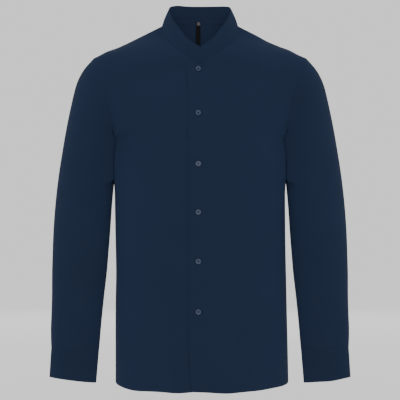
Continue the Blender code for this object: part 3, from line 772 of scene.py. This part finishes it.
def crease_push(places, side, creases):
    """How far creases press each point of a sheet out (above 0) or in."""
    flat = np.column_stack([places[:, 0] * side, places[:, 2]])
    push = np.zeros(len(places))
    for crease in creases:
        gap, along = polyline_distance(flat, crease.points)
        inner = along * (1.0 - 2.0 * CREASE_END_SHARE) + CREASE_END_SHARE
        push += crease.depth * bell(gap, crease.width) * arch(inner, 0.0, 1.0, CREASE_FULLNESS)
    return push


def crease_cloth(piece, creases, side, face_sign, middle_y):
    """Presses creases into one face of a sheet, along its normals."""
    mesh = piece.data
    places = vertex_array(mesh)
    push = crease_push(places, side, creases)
    push *= smooth_step(face_sign * (places[:, 1] - middle_y) / CREASE_SIDE_FADE)
    push *= edge_fade(mesh, CREASE_EDGE_FADE)
    write_vertices(mesh, places + normal_array(mesh) * push[:, None])


def fold_armhole(piece, side, face_sign, creases):
    """Presses folds that run across the armhole seam into body and sleeve alike."""
    places = vertex_array(piece.data)
    on_face = smooth_step(face_sign * places[:, 1] / CREASE_SIDE_FADE)
    places[:, 1] += face_sign * crease_push(places, side, creases) * on_face
    write_vertices(piece.data, places)


def wave_edge(piece, waves, heights):
    """Lets a sheet's edge rise and fall a little along its length."""
    places = vertex_array(piece.data)
    share = fade_in(places[:, 2], *heights)
    for wave in waves:
        places[:, 2] += wave.rise * share * bell(places[:, 0] - wave.x, wave.half_width)
    write_vertices(piece.data, places)


def swell_sleeve(piece, side):
    """Fills a sleeve or a cuff out sideways at the elbow and the wrist."""
    places = vertex_array(piece.data)
    across = np.clip((places[:, 0] * side - SLEEVE_MIDDLE_X) / SLEEVE_HALF_WIDTH, -1.0, 1.0)
    for swell in SLEEVE_SWELLS:
        share = bell(places[:, 2] - swell.height, swell.half_length)
        places[:, 0] += side * swell.amount * across * share
    write_vertices(piece.data, places)


def nest_armpit(piece, side):
    """Moves body and sleeve the same way, so that they nest at the armpit."""
    places = vertex_array(piece.data)
    x = places[:, 0] * side
    share = arch(places[:, 2], ARMPIT_LOW, ARMPIT_TOP, ARMPIT_FULLNESS)
    share *= bell(places[:, 1] - ARMPIT_FOLD_Y, ARMPIT_FOLD_WIDTH)
    share *= fade_in(x, ARMPIT_INNER_START_X, ARMPIT_INNER_FULL_X)
    share *= 1.0 - fade_in(x, ARMPIT_OUTER_START_X, ARMPIT_OUTER_END_X)
    places[:, 0] += side * ARMPIT_FOLD_DEPTH * share
    write_vertices(piece.data, places)


def bunch_armpit(piece, side, bunch):
    """Swells the body's cloth out into the groove below the armpit."""
    places = vertex_array(piece.data)
    share = arch(places[:, 2], BUNCH_LOW, BUNCH_TOP, ARMPIT_FULLNESS)
    share *= edge_fade(piece.data, BUNCH_SEAM_FADE)
    share *= fade_in(places[:, 0] * side, ARMPIT_INNER_START_X, ARMPIT_INNER_FULL_X)
    share *= bell(places[:, 1] - bunch.y, bunch.width)
    places[:, 0] += side * bunch.swell * share
    write_vertices(piece.data, places)


def nestle_sleeve(piece, side, body):
    """Lays the inner side of a sleeve against the body, below the armpit."""
    places = vertex_array(piece.data)
    share = edge_fade(piece.data, NESTLE_SEAM_FADE)
    share *= fade_in(places[:, 2], NESTLE_LOW, NESTLE_FULL)
    share *= 1.0 - smooth_step((np.abs(places[:, 1]) - NESTLE_HALF_DEPTH) / NESTLE_FADE)
    share *= 1.0 - fade_in(places[:, 0] * side, NESTLE_OUTER_START_X, NESTLE_OUTER_END_X)
    inward = Vector((-side, 0.0, 0.0))
    for place, part in zip(places, share):
        if part == 0.0:
            continue
        outside = Vector((place[0] + side * NESTLE_LOOK_FROM, place[1], place[2]))
        for tree in body:
            hit = tree.ray_cast(outside, inward, NESTLE_LOOK_REACH)[0]
            if hit:
                gap = (place[0] - hit.x) * side - NESTLE_GAP
                place[0] -= side * max(gap, 0.0) * part
                break
    write_vertices(piece.data, places)


def lift_underlap(piece):
    """Brings the right front up close under the left one."""
    places = vertex_array(piece.data)
    under = fade_in(places[:, 0], LAP_START_X, LAP_FULL_X)
    rise = fade_in(places[:, 2], NECK_LIFT_FROM, NECK_LIFT_TO)
    places[:, 1] -= (LAP_LIFT + NECK_LIFT * rise) * under
    write_vertices(piece.data, places)


def settle_edge(piece, chain):
    """Lays a free edge down on the sheet below it, but for its gapes."""
    tree = point_tree(chain)
    places = vertex_array(piece.data)
    away = np.array([tree.find(place)[2] for place in places])
    depth = np.full(len(places), EDGE_SETTLE)
    for gape in EDGE_GAPES:
        depth -= gape.lift * bell(places[:, 2] - gape.height, gape.half_length)
    depth *= 1.0 - smooth_step(away / EDGE_REACH)
    write_vertices(piece.data, places - normal_array(piece.data) * depth[:, None])


def draw_seams(piece, neighbours):
    """Moves a sheet's sewn edges up to the sheets that they are sewn to."""
    work = bmesh.new()
    work.from_mesh(piece.data)
    for vert in work.verts:
        if vert.is_boundary:
            near = nearest_of(neighbours, vert.co)
            if near[3] < SEAM_REACH:
                vert.co += (near[0] - vert.co) * SEAM_DRAW
    work.to_mesh(piece.data)
    work.free()


def close_butt(piece):
    """Brings the two ends of the collar together at the centre front."""
    places = vertex_array(piece.data)
    x = places[:, 0]
    near = (1.0 - smooth_step((np.abs(x) - BUTT_GAP) / BUTT_REACH)) * (places[:, 1] < 0.0)
    places[:, 0] = x - np.sign(x) * BUTT_DRAW * near
    write_vertices(piece.data, places)


# ---------------------------------------------------------------- edges and seams

def is_upright(way):
    return abs(way.z) > FLATTEST_UPRIGHT


def is_level(way):
    return abs(way.z) < STEEPEST_LEVEL


def is_hem(at, way):
    return at.z < HEM_BELOW_Z and is_level(way)


def is_placket_edge(at, way):
    """Whether a point of the left front's edge belongs to its free edge."""
    return at.x < PLACKET_EDGE_BELOW_X and is_upright(way)


def is_shoulder_ridge(at, way):
    across = abs(way.x) > STEEPEST_LEVEL
    return abs(at.y) < RIDGE_HALF_DEPTH and at.z > RIDGE_ABOVE_Z and across


def is_collar_foot(at, _):
    foot = COLLAR_FOOT_FRONT_Z + COLLAR_FOOT_RISE * fade_in(at.y, COLLAR_FRONT_Y, COLLAR_BACK_Y)
    return at.z <= foot + COLLAR_MIDDLE


def is_collar_top(at, way):
    return at.z > COLLAR_POINTS_Z and not is_collar_foot(at, way)


def edge_chain(mesh, wanted):
    """Boundary points that pass a test, in order along the sheet's edge."""
    work = bmesh.new()
    work.from_mesh(mesh)
    good = {}
    for edge in work.edges:
        if edge.is_boundary:
            way = (edge.verts[1].co - edge.verts[0].co).normalized()
            if wanted((edge.verts[0].co + edge.verts[1].co) / 2, way):
                for vert in edge.verts:
                    good.setdefault(vert.index, []).append(edge.other_vert(vert).index)
    places = [vert.co.copy() for vert in work.verts]
    work.free()
    chains = []
    unused = set(good)
    while unused:
        ends = [index for index in unused if len(good[index]) == 1]
        at = min(ends) if ends else min(unused)
        chain = []
        while at is not None:
            unused.discard(at)
            chain.append(places[at])
            at = next((index for index in good[at] if index in unused), None)
        chains.append(chain)
    return max(chains, key=len)


def follow_edge(tree, chain, inset):
    """A place, an outward normal and a direction for each stitch of a row that runs at an
    inset from a sheet's edge."""
    line = []
    for before, here, after in zip([chain[0]] + chain[:-1], chain, chain[1:] + [chain[-1]]):
        _, normal, _, _ = tree.find_nearest(here)
        way = (after - before).normalized()
        across = normal.cross(way).normalized()
        first = tree.find_nearest(here + across * inset)
        second = tree.find_nearest(here - across * inset)
        line.append(first if first[3] < second[3] else second)
    steps = [0.0]
    for a, b in zip(line, line[1:]):
        steps.append(steps[-1] + (b[0] - a[0]).length)
    spacing = STITCH_LENGTH + STITCH_GAP
    result = []
    at = spacing / 2
    while at < steps[-1]:
        index = int(np.searchsorted(steps, at)) - 1
        share = (at - steps[index]) / max(steps[index + 1] - steps[index], SHORTEST_STEP)
        point = line[index][0].lerp(line[index + 1][0], share)
        way = (line[index + 1][0] - line[index][0]).normalized()
        result.append((point, line[index][1].copy(), way))
        at += spacing
    return result


def turn_seam_in(name, chain, own, neighbours, material, depths, closed=False):
    """The seam allowance behind a seam: a strip that follows both sheets from inside, at
    its own depth behind the first sheet and behind its neighbours."""
    ring = chain + [chain[0]] if closed else chain
    last = len(ring) - 1
    points = []
    for index, here in enumerate(ring):
        before = ring[index - 1] if index else (ring[-2] if closed else ring[0])
        after = ring[index + 1] if index < last else (ring[1] if closed else ring[-1])
        normal = own.find_nearest(here)[1]
        across = normal.cross((after - before).normalized()).normalized()
        inward = own.find_nearest(here + across * SEAM_ALLOWANCE)
        outward = own.find_nearest(here - across * SEAM_ALLOWANCE)
        if outward[3] < inward[3]:
            across = -across
        for share in SEAM_ROWS:
            wanted = here - across * (SEAM_ALLOWANCE * share)
            inner = own.find_nearest(wanted)
            outer = nearest_of(neighbours, wanted)
            if inner[3] < outer[3]:
                points.append(inner[0] - inner[1] * depths[0])
            else:
                points.append(outer[0] - outer[1] * depths[1])
    rows = len(SEAM_ROWS)
    faces = []
    for index in range(last):
        for row in range(rows - 1):
            low = index * rows + row
            faces.append((low, low + 1, low + rows + 1, low + rows))
    mesh = bpy.data.meshes.new(name)
    mesh.from_pydata([tuple(point) for point in points], [], faces)
    mesh.materials.append(material)
    piece = new_piece(name, mesh)
    wall = piece.modifiers.new("Cloth wall", "SOLIDIFY")
    wall.thickness = SEAM_CLOTH
    wall.offset = 0.0
    apply_modifiers(piece)
    open_for_editing(piece)
    bpy.ops.mesh.remove_doubles(threshold=MERGE_DISTANCE)
    bpy.ops.mesh.normals_make_consistent(inside=False)
    close_editing()
    piece.data.shade_smooth()
    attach(piece, ROOT)


# ---------------------------------------------------------------- stitching

def make_stitch():
    """One stitch, a short rounded bead of thread along X."""
    deselect_all()
    bpy.ops.mesh.primitive_uv_sphere_add(segments=6, ring_count=4, radius=1.0)
    bead = bpy.context.active_object
    open_for_editing(bead)
    bpy.ops.transform.rotate(value=math.pi / 2, orient_axis="Y", center_override=(0.0, 0.0, 0.0))
    bpy.ops.transform.resize(value=(STITCH_LENGTH / 2, STITCH_RADIUS, STITCH_RADIUS))
    close_editing()
    return take_mesh(bead)


def sew(name, tree, line, inset, kit):
    """A row of stitches along a sheet's edge, all copies of one, joined into one piece."""
    places = vertex_array(kit.stitch)
    faces = [tuple(face.vertices) for face in kit.stitch.polygons]
    points = []
    polygons = []
    for point, normal, way in follow_edge(tree, line, inset):
        side = normal.cross(way).normalized()
        turn = np.array([way, side, normal])
        centre = np.array(point) + np.array(normal) * STITCH_LIFT
        first = len(points)
        points.extend((places @ turn + centre).tolist())
        polygons.extend(tuple(first + index for index in face) for face in faces)
    mesh = bpy.data.meshes.new(name)
    mesh.from_pydata(points, [], polygons)
    mesh.materials.append(kit.thread)
    mesh.shade_smooth()
    piece = new_piece(name, mesh)
    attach(piece, ROOT)


# ---------------------------------------------------------------- buttons

def make_button():
    """A turned button with a raised rim and four holes, its back on the XY plane."""
    deselect_all()
    bpy.ops.mesh.primitive_cylinder_add(
        vertices=BUTTON_SIDES, radius=BUTTON_RADIUS, depth=BUTTON_HEIGHT,
        location=(0.0, 0.0, BUTTON_HEIGHT / 2))
    button = bpy.context.active_object
    bpy.ops.object.transform_apply(location=True, rotation=False, scale=False)
    bpy.ops.object.mode_set(mode="EDIT")
    bpy.ops.mesh.select_mode(type="FACE")
    bpy.ops.mesh.select_all(action="DESELECT")
    work = bmesh.from_edit_mesh(button.data)
    top = max(work.faces, key=lambda face: face.calc_center_median().z)
    top.select = True
    bmesh.update_edit_mesh(button.data)
    bpy.ops.mesh.inset(thickness=BUTTON_RIM)
    bpy.ops.mesh.inset(thickness=BUTTON_SLOPE)
    bpy.ops.transform.translate(value=(0.0, 0.0, -BUTTON_DISH))
    close_editing()
    rounding = button.modifiers.new("Rounded edges", "BEVEL")
    rounding.width = BUTTON_ROUNDING
    rounding.segments = 3
    rounding.limit_method = "ANGLE"
    rounding.angle_limit = math.radians(BUTTON_EDGE_ANGLE)
    apply_modifiers(button)
    drill_holes(button)
    make_active(button)
    bpy.ops.object.shade_smooth_by_angle(angle=math.radians(BUTTON_EDGE_ANGLE))
    mesh = take_mesh(button)
    turned = mesh.uv_layers.new(name="turned")
    for loop in mesh.loops:
        turned.data[loop.index].uv = mesh.vertices[loop.vertex_index].co.xy / BUTTON_RADIUS
    return mesh


def drill_holes(button):
    deselect_all()
    for x in (-HOLE_SPACING / 2, HOLE_SPACING / 2):
        for y in (-HOLE_SPACING / 2, HOLE_SPACING / 2):
            bpy.ops.mesh.primitive_cylinder_add(
                vertices=HOLE_SIDES, radius=HOLE_RADIUS, depth=BUTTON_HEIGHT * 3,
                location=(x, y, 0.0))
            drill = bpy.context.active_object
            holes = button.modifiers.new("Thread hole", "BOOLEAN")
            holes.operation = "DIFFERENCE"
            holes.solver = "EXACT"
            holes.object = drill
            apply_modifiers(button)
            bpy.data.objects.remove(drill, do_unlink=True)


def make_button_thread():
    """Two crossed bars of thread that hold a button through its holes."""
    deselect_all()
    bars = []
    top = BUTTON_HEIGHT - BUTTON_DISH
    for turn in (math.pi / 4, -math.pi / 4):
        bpy.ops.mesh.primitive_torus_add(
            major_segments=24, minor_segments=8, major_radius=THREAD_LOOP_RADIUS,
            minor_radius=THREAD_RADIUS, location=(0.0, 0.0, top))
        bar = bpy.context.active_object
        open_for_editing(bar)
        bpy.ops.transform.rotate(value=math.pi / 2, orient_axis="X", center_override=(0, 0, top))
        bpy.ops.transform.resize(
            value=(1.0, 1.0, THREAD_LOOP_FLATNESS), center_override=(0, 0, top))
        bpy.ops.transform.rotate(value=turn, orient_axis="Z", center_override=(0, 0, 0))
        close_editing()
        bpy.ops.object.transform_apply(location=True, rotation=True, scale=True)
        bars.append(bar)
    deselect_all()
    for bar in bars:
        bar.select_set(True)
    bpy.context.view_layer.objects.active = bars[0]
    bpy.ops.object.join()
    bars[0].data.shade_smooth()
    return take_mesh(bars[0])


def make_buttonhole():
    """A stitched slit: a low rounded oval of close thread with a dark channel."""
    deselect_all()
    bpy.ops.mesh.primitive_torus_add(
        major_segments=48, minor_segments=10, major_radius=BUTTONHOLE_RADIUS,
        minor_radius=BUTTONHOLE_CORD)
    hole = bpy.context.active_object
    open_for_editing(hole)
    bpy.ops.transform.resize(value=BUTTONHOLE_SHAPE, center_override=(0, 0, 0))
    close_editing()
    mesh = take_mesh(hole)
    mesh.shade_smooth()
    return mesh


def seat_on_cloth(point, normal, lift):
    """Places a flat thing a little off the cloth: its Z outward, its Y upward."""
    out = Vector(normal).normalized()
    upward = (UP - out * out.dot(UP)).normalized()
    across = upward.cross(out)
    turn = Matrix((across, upward, out)).transposed().to_4x4()
    return Matrix.Translation(point + normal * lift) @ turn


def place_copy(name, template, matrix, material):
    mesh = template.copy()
    mesh.name = name
    mesh.transform(matrix)
    mesh.materials.clear()
    mesh.materials.append(material)
    piece = new_piece(name, mesh)
    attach(piece, ROOT)
    return piece


def sew_button_on(name, seat, kit):
    """A button with its thread, in place of the frame's button."""
    piece = place_copy(name + "_resin", kit.button, seat, kit.resin)
    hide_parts(name)
    place_copy(name + "_thread", kit.button_thread, seat, kit.thread)


def middle_of(node):
    low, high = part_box(node)
    return (Vector(low) + Vector(high)) / 2


# ---------------------------------------------------------------- room

def make_floor():
    deselect_all()
    bpy.ops.mesh.primitive_circle_add(
        vertices=FLOOR_SIDES, radius=FLOOR_RADIUS, fill_type="NGON",
        location=(0.0, 0.0, FLOOR_HEIGHT))
    floor = bpy.context.active_object
    floor.name = "studio_floor"
    bpy.ops.object.transform_apply(location=True, rotation=True, scale=True)
    paint = make_plain_finish(FLOOR_PAINT)
    shader = paint.node_tree.nodes["Principled BSDF"]
    shader.inputs["Emission Color"].default_value = WHITE
    shader.inputs["Emission Strength"].default_value = FLOOR_GLOW
    floor.data.materials.append(paint)


def add_lamp(lamp):
    light = bpy.data.lights.new(lamp.name, "AREA")
    light.shape = "DISK"
    light.size = lamp.size
    light.energy = lamp.power
    holder = bpy.data.objects.new(lamp.name, light)
    holder.location = lamp.place
    way = Vector(lamp.target) - Vector(lamp.place)
    holder.rotation_euler = way.to_track_quat("-Z", "Y").to_euler()
    bpy.context.scene.collection.objects.link(holder)


def make_studio():
    world = bpy.context.scene.world or bpy.data.worlds.new("World")
    bpy.context.scene.world = world
    world.use_nodes = True
    sky = world.node_tree.nodes["Background"]
    sky.inputs["Color"].default_value = WHITE
    sky.inputs["Strength"].default_value = SKY_STRENGTH
    for lamp in LAMPS:
        add_lamp(lamp)
    camera = bpy.data.cameras.new("Camera")
    camera.lens = CAMERA_LENS
    camera.sensor_width = CAMERA_SENSOR
    eye = bpy.data.objects.new("Camera", camera)
    eye.location = (0.0, -CAMERA_DISTANCE, CAMERA_HEIGHT)
    eye.rotation_euler = (math.pi / 2, 0.0, 0.0)
    bpy.context.scene.collection.objects.link(eye)
    bpy.context.scene.camera = eye


# ---------------------------------------------------------------- the shirt

Kit = namedtuple(
    "Kit", "poplin band thread resin black_tape grey_tape stitch button button_thread buttonhole")


def make_kit():
    """The shirt's finishes, one stitch, and a button with its thread and its buttonhole."""
    return Kit(
        poplin=make_poplin(BODY_POPLIN),
        band=make_poplin(BAND_POPLIN),
        thread=make_plain_finish(THREAD),
        # resin with the raised rim's highlight painted into its colour
        resin=make_resin("slate_resin"),
        black_tape=make_plain_finish(BLACK_TAPE),
        grey_tape=make_plain_finish(GREY_TAPE),
        stitch=make_stitch(),
        button=make_button(),
        button_thread=make_button_thread(),
        buttonhole=make_buttonhole(),
    )


def make_front(label, side, kit, trees, edges):
    name = "front_" + label
    sheet = outer_face(name, name + "_cloth")
    size = lay_flat(sheet)
    refine(sheet, CLOTH_LEVELS)
    wave_edge(sheet, HEM_WAVES, HEM_WAVE_HEIGHTS)
    wave_edge(sheet, SHOULDER_WAVES, SHOULDER_WAVE_HEIGHTS)
    crease_cloth(sheet, FRONT_CREASES[label], side, FRONT_FACE, FRONT_MIDDLE_Y)
    fold_armhole(sheet, side, FRONT_FACE, ARMHOLE_FOLDS_FRONT)
    nest_armpit(sheet, side)
    bunch_armpit(sheet, side, FRONT_BUNCH)
    if label == "left":
        settle_edge(sheet, edge_chain(sheet.data, is_placket_edge))
    else:
        lift_underlap(sheet)
    tree = surface_tree(sheet)
    trees[name] = tree

    def is_flank(at, way):
        return at.x * side > FLANK_BEYOND_X and at.z < FLANK_BELOW_Z and is_upright(way)

    edges["flank_" + label] = edge_chain(sheet.data, is_flank)
    edges["ridge_" + label] = edge_chain(sheet.data, is_shoulder_ridge)
    sew(name + "_hem_stitching", tree, edge_chain(sheet.data, is_hem), HEM_INSET, kit)
    if label == "left":
        free = edge_chain(sheet.data, is_placket_edge)
        sew("placket_edge_stitching", tree, free, EDGE_INSET, kit)
    finish_sheet(sheet, name, CLOTH_THICKNESS, kit.poplin)


def make_back(kit, trees):
    back = outer_face("back", "back_cloth")
    size = lay_flat(back)
    refine(back, CLOTH_LEVELS)
    wave_edge(back, SHOULDER_WAVES, SHOULDER_WAVE_HEIGHTS)
    crease_cloth(back, BACK_CREASES, 1, BACK_FACE, BACK_MIDDLE_Y)
    for _, side in SIDES:
        fold_armhole(back, side, BACK_FACE, ARMHOLE_FOLDS_BACK)
        bunch_armpit(back, side, BACK_BUNCH)
    draw_seams(back, [trees["front_left"], trees["front_right"]])
    trees["back"] = surface_tree(back)
    hem = edge_chain(back.data, is_hem)
    sew("back_hem_stitching", trees["back"], hem, HEM_INSET, kit)
    finish_sheet(back, "back", CLOTH_THICKNESS, kit.poplin)


def make_collar(kit, trees, edges):
    collar = outer_face("collar", "collar_cloth")
    size = lay_flat(collar)
    refine(collar, BAND_LEVELS)
    wave_edge(collar, COLLAR_WAVES, COLLAR_WAVE_HEIGHTS)
    close_butt(collar)
    draw_seams(collar, [trees["front_left"], trees["front_right"], trees["back"]])
    tree = surface_tree(collar)
    trees["collar"] = tree
    top = edge_chain(collar.data, is_collar_top)
    edges["neck"] = edge_chain(collar.data, is_collar_foot)
    sew("collar_top_stitching", tree, top, EDGE_INSET, kit)
    sew("collar_foot_stitching", tree, edges["neck"], EDGE_INSET, kit)
    finish_sheet(collar, "collar", BAND_THICKNESS, kit.band)


def turn_body_seams_in(kit, trees, edges):
    """The seam allowances at the sides, the shoulders and the neck."""
    back = [trees["back"]]
    for label, _ in SIDES:
        front = trees["front_" + label]
        turn_seam_in("side_seam_" + label, edges["flank_" + label], front, back,
                     kit.poplin, PANEL_DEPTHS)
        turn_seam_in("shoulder_seam_" + label, edges["ridge_" + label], front, back,
                     kit.poplin, PANEL_DEPTHS)
    body = [trees["front_left"], trees["front_right"], trees["back"]]
    turn_seam_in("neck_seam", edges["neck"], trees["collar"], body, kit.band,
                 (BAND_SEAM_DEPTH, SEAM_DEPTH))


def make_sleeve(label, side, kit, trees, edges):
    name = "sleeve_" + label
    body = [trees["front_" + label], trees["back"]]
    sleeve = outer_face(name, name + "_cloth")
    size = lay_flat(sleeve, underarm_seam(sleeve.data))
    refine(sleeve, CLOTH_LEVELS)
    wave_edge(sleeve, SHOULDER_WAVES, SHOULDER_WAVE_HEIGHTS)
    swell_sleeve(sleeve, side)
    crease_cloth(sleeve, SLEEVE_FRONT_CREASES, side, FRONT_FACE, SLEEVE_MIDDLE_Y)
    crease_cloth(sleeve, SLEEVE_BACK_CREASES, side, BACK_FACE, SLEEVE_MIDDLE_Y)
    fold_armhole(sleeve, side, FRONT_FACE, ARMHOLE_FOLDS_FRONT)
    fold_armhole(sleeve, side, BACK_FACE, ARMHOLE_FOLDS_BACK)
    nest_armpit(sleeve, side)
    nestle_sleeve(sleeve, side, body)
    draw_seams(sleeve, body)
    trees[name] = surface_tree(sleeve)
    head = edge_chain(sleeve.data, lambda at, way: at.z > SLEEVE_HEAD_ABOVE_Z)
    turn_seam_in("armhole_seam_" + label, head, trees[name], body, kit.poplin,
                 PANEL_DEPTHS, closed=True)
    edges["wrist_" + label] = edge_chain(sleeve.data, lambda at, way: at.z < WRIST_BELOW_Z)
    finish_sheet(sleeve, name, CLOTH_THICKNESS, kit.poplin)


def make_cuff(label, side, kit, trees, edges):
    name = "cuff_" + label
    sleeve = trees["sleeve_" + label]
    cuff = outer_face(name, name + "_cloth")
    size = lay_flat(cuff)
    refine(cuff, BAND_LEVELS)
    wave_edge(cuff, CUFF_WAVES, CUFF_WAVE_HEIGHTS)
    swell_sleeve(cuff, side)
    draw_seams(cuff, [sleeve])
    tree = surface_tree(cuff)
    trees[name] = tree
    turn_seam_in("cuff_seam_" + label, edges["wrist_" + label], sleeve, [tree], kit.poplin,
                 (SEAM_DEPTH, BAND_SEAM_DEPTH), closed=True)
    for part in CUFF_EDGES:
        line = edge_chain(
            cuff.data,
            lambda at, way, part=part: part.low < at.z < part.high and is_level(way))
        sew("cuff_%s_%s_stitching" % (label, part.name), tree, line, EDGE_INSET, kit)
    finish_sheet(cuff, name, BAND_THICKNESS, kit.band)


def make_sleeve_placket(label, side, kit):
    name = "sleeve_placket_" + label
    strip = outer_face(name, name + "_cloth", Vector((side, SLEEVE_PLACKET_FACING_Y, 0.0)))
    size = lay_flat(strip)
    refine(strip, CLOTH_LEVELS)
    swell_sleeve(strip, side)
    finish_sheet(strip, name, CLOTH_THICKNESS, kit.poplin)


def make_tape(node, material):
    strip = outer_face(node, node + "_tape", FORWARD)
    size = lay_flat(strip)
    refine(strip, TAPE_LEVELS)
    finish_sheet(strip, node, TAPE_THICKNESS, material)


def make_front_buttons(kit, trees):
    """The row of buttons, each seated on the left front over its buttonhole."""
    for number in range(1, BUTTON_COUNT + 1):
        name = "button_%d" % number
        middle = middle_of(name)
        start = Vector((middle.x, LOOK_FROM_Y, middle.z))
        hit, normal, _, _ = trees["front_left"].ray_cast(start, BACKWARD)
        if normal.y > 0:
            normal = -normal
        sew_button_on(name, seat_on_cloth(hit, normal, BUTTON_LIFT), kit)
        seat = seat_on_cloth(hit, normal, BUTTONHOLE_LIFT)
        place_copy(name + "_hole", kit.buttonhole, seat, kit.thread)


def make_cuff_buttons(kit, trees):
    for label, _ in SIDES:
        name = "cuff_button_" + label
        middle = middle_of(name)
        point, normal, _, _ = trees["cuff_" + label].find_nearest(middle)
        if (middle - point).dot(normal) < 0:
            normal = -normal
        sew_button_on(name, seat_on_cloth(point, normal, BUTTON_LIFT), kit)


def make_shirt():
    kit = make_kit()
    trees = {}
    edges = {}
    for label, side in SIDES:
        make_front(label, side, kit, trees, edges)
    make_back(kit, trees)
    make_collar(kit, trees, edges)
    turn_body_seams_in(kit, trees, edges)
    for label, side in SIDES:
        make_sleeve(label, side, kit, trees, edges)
        make_cuff(label, side, kit, trees, edges)
        make_sleeve_placket(label, side, kit)
    make_tape("neck_label", kit.black_tape)
    make_tape("size_tab", kit.grey_tape)
    make_front_buttons(kit, trees)
    make_cuff_buttons(kit, trees)


make_studio()
make_floor()
make_shirt()
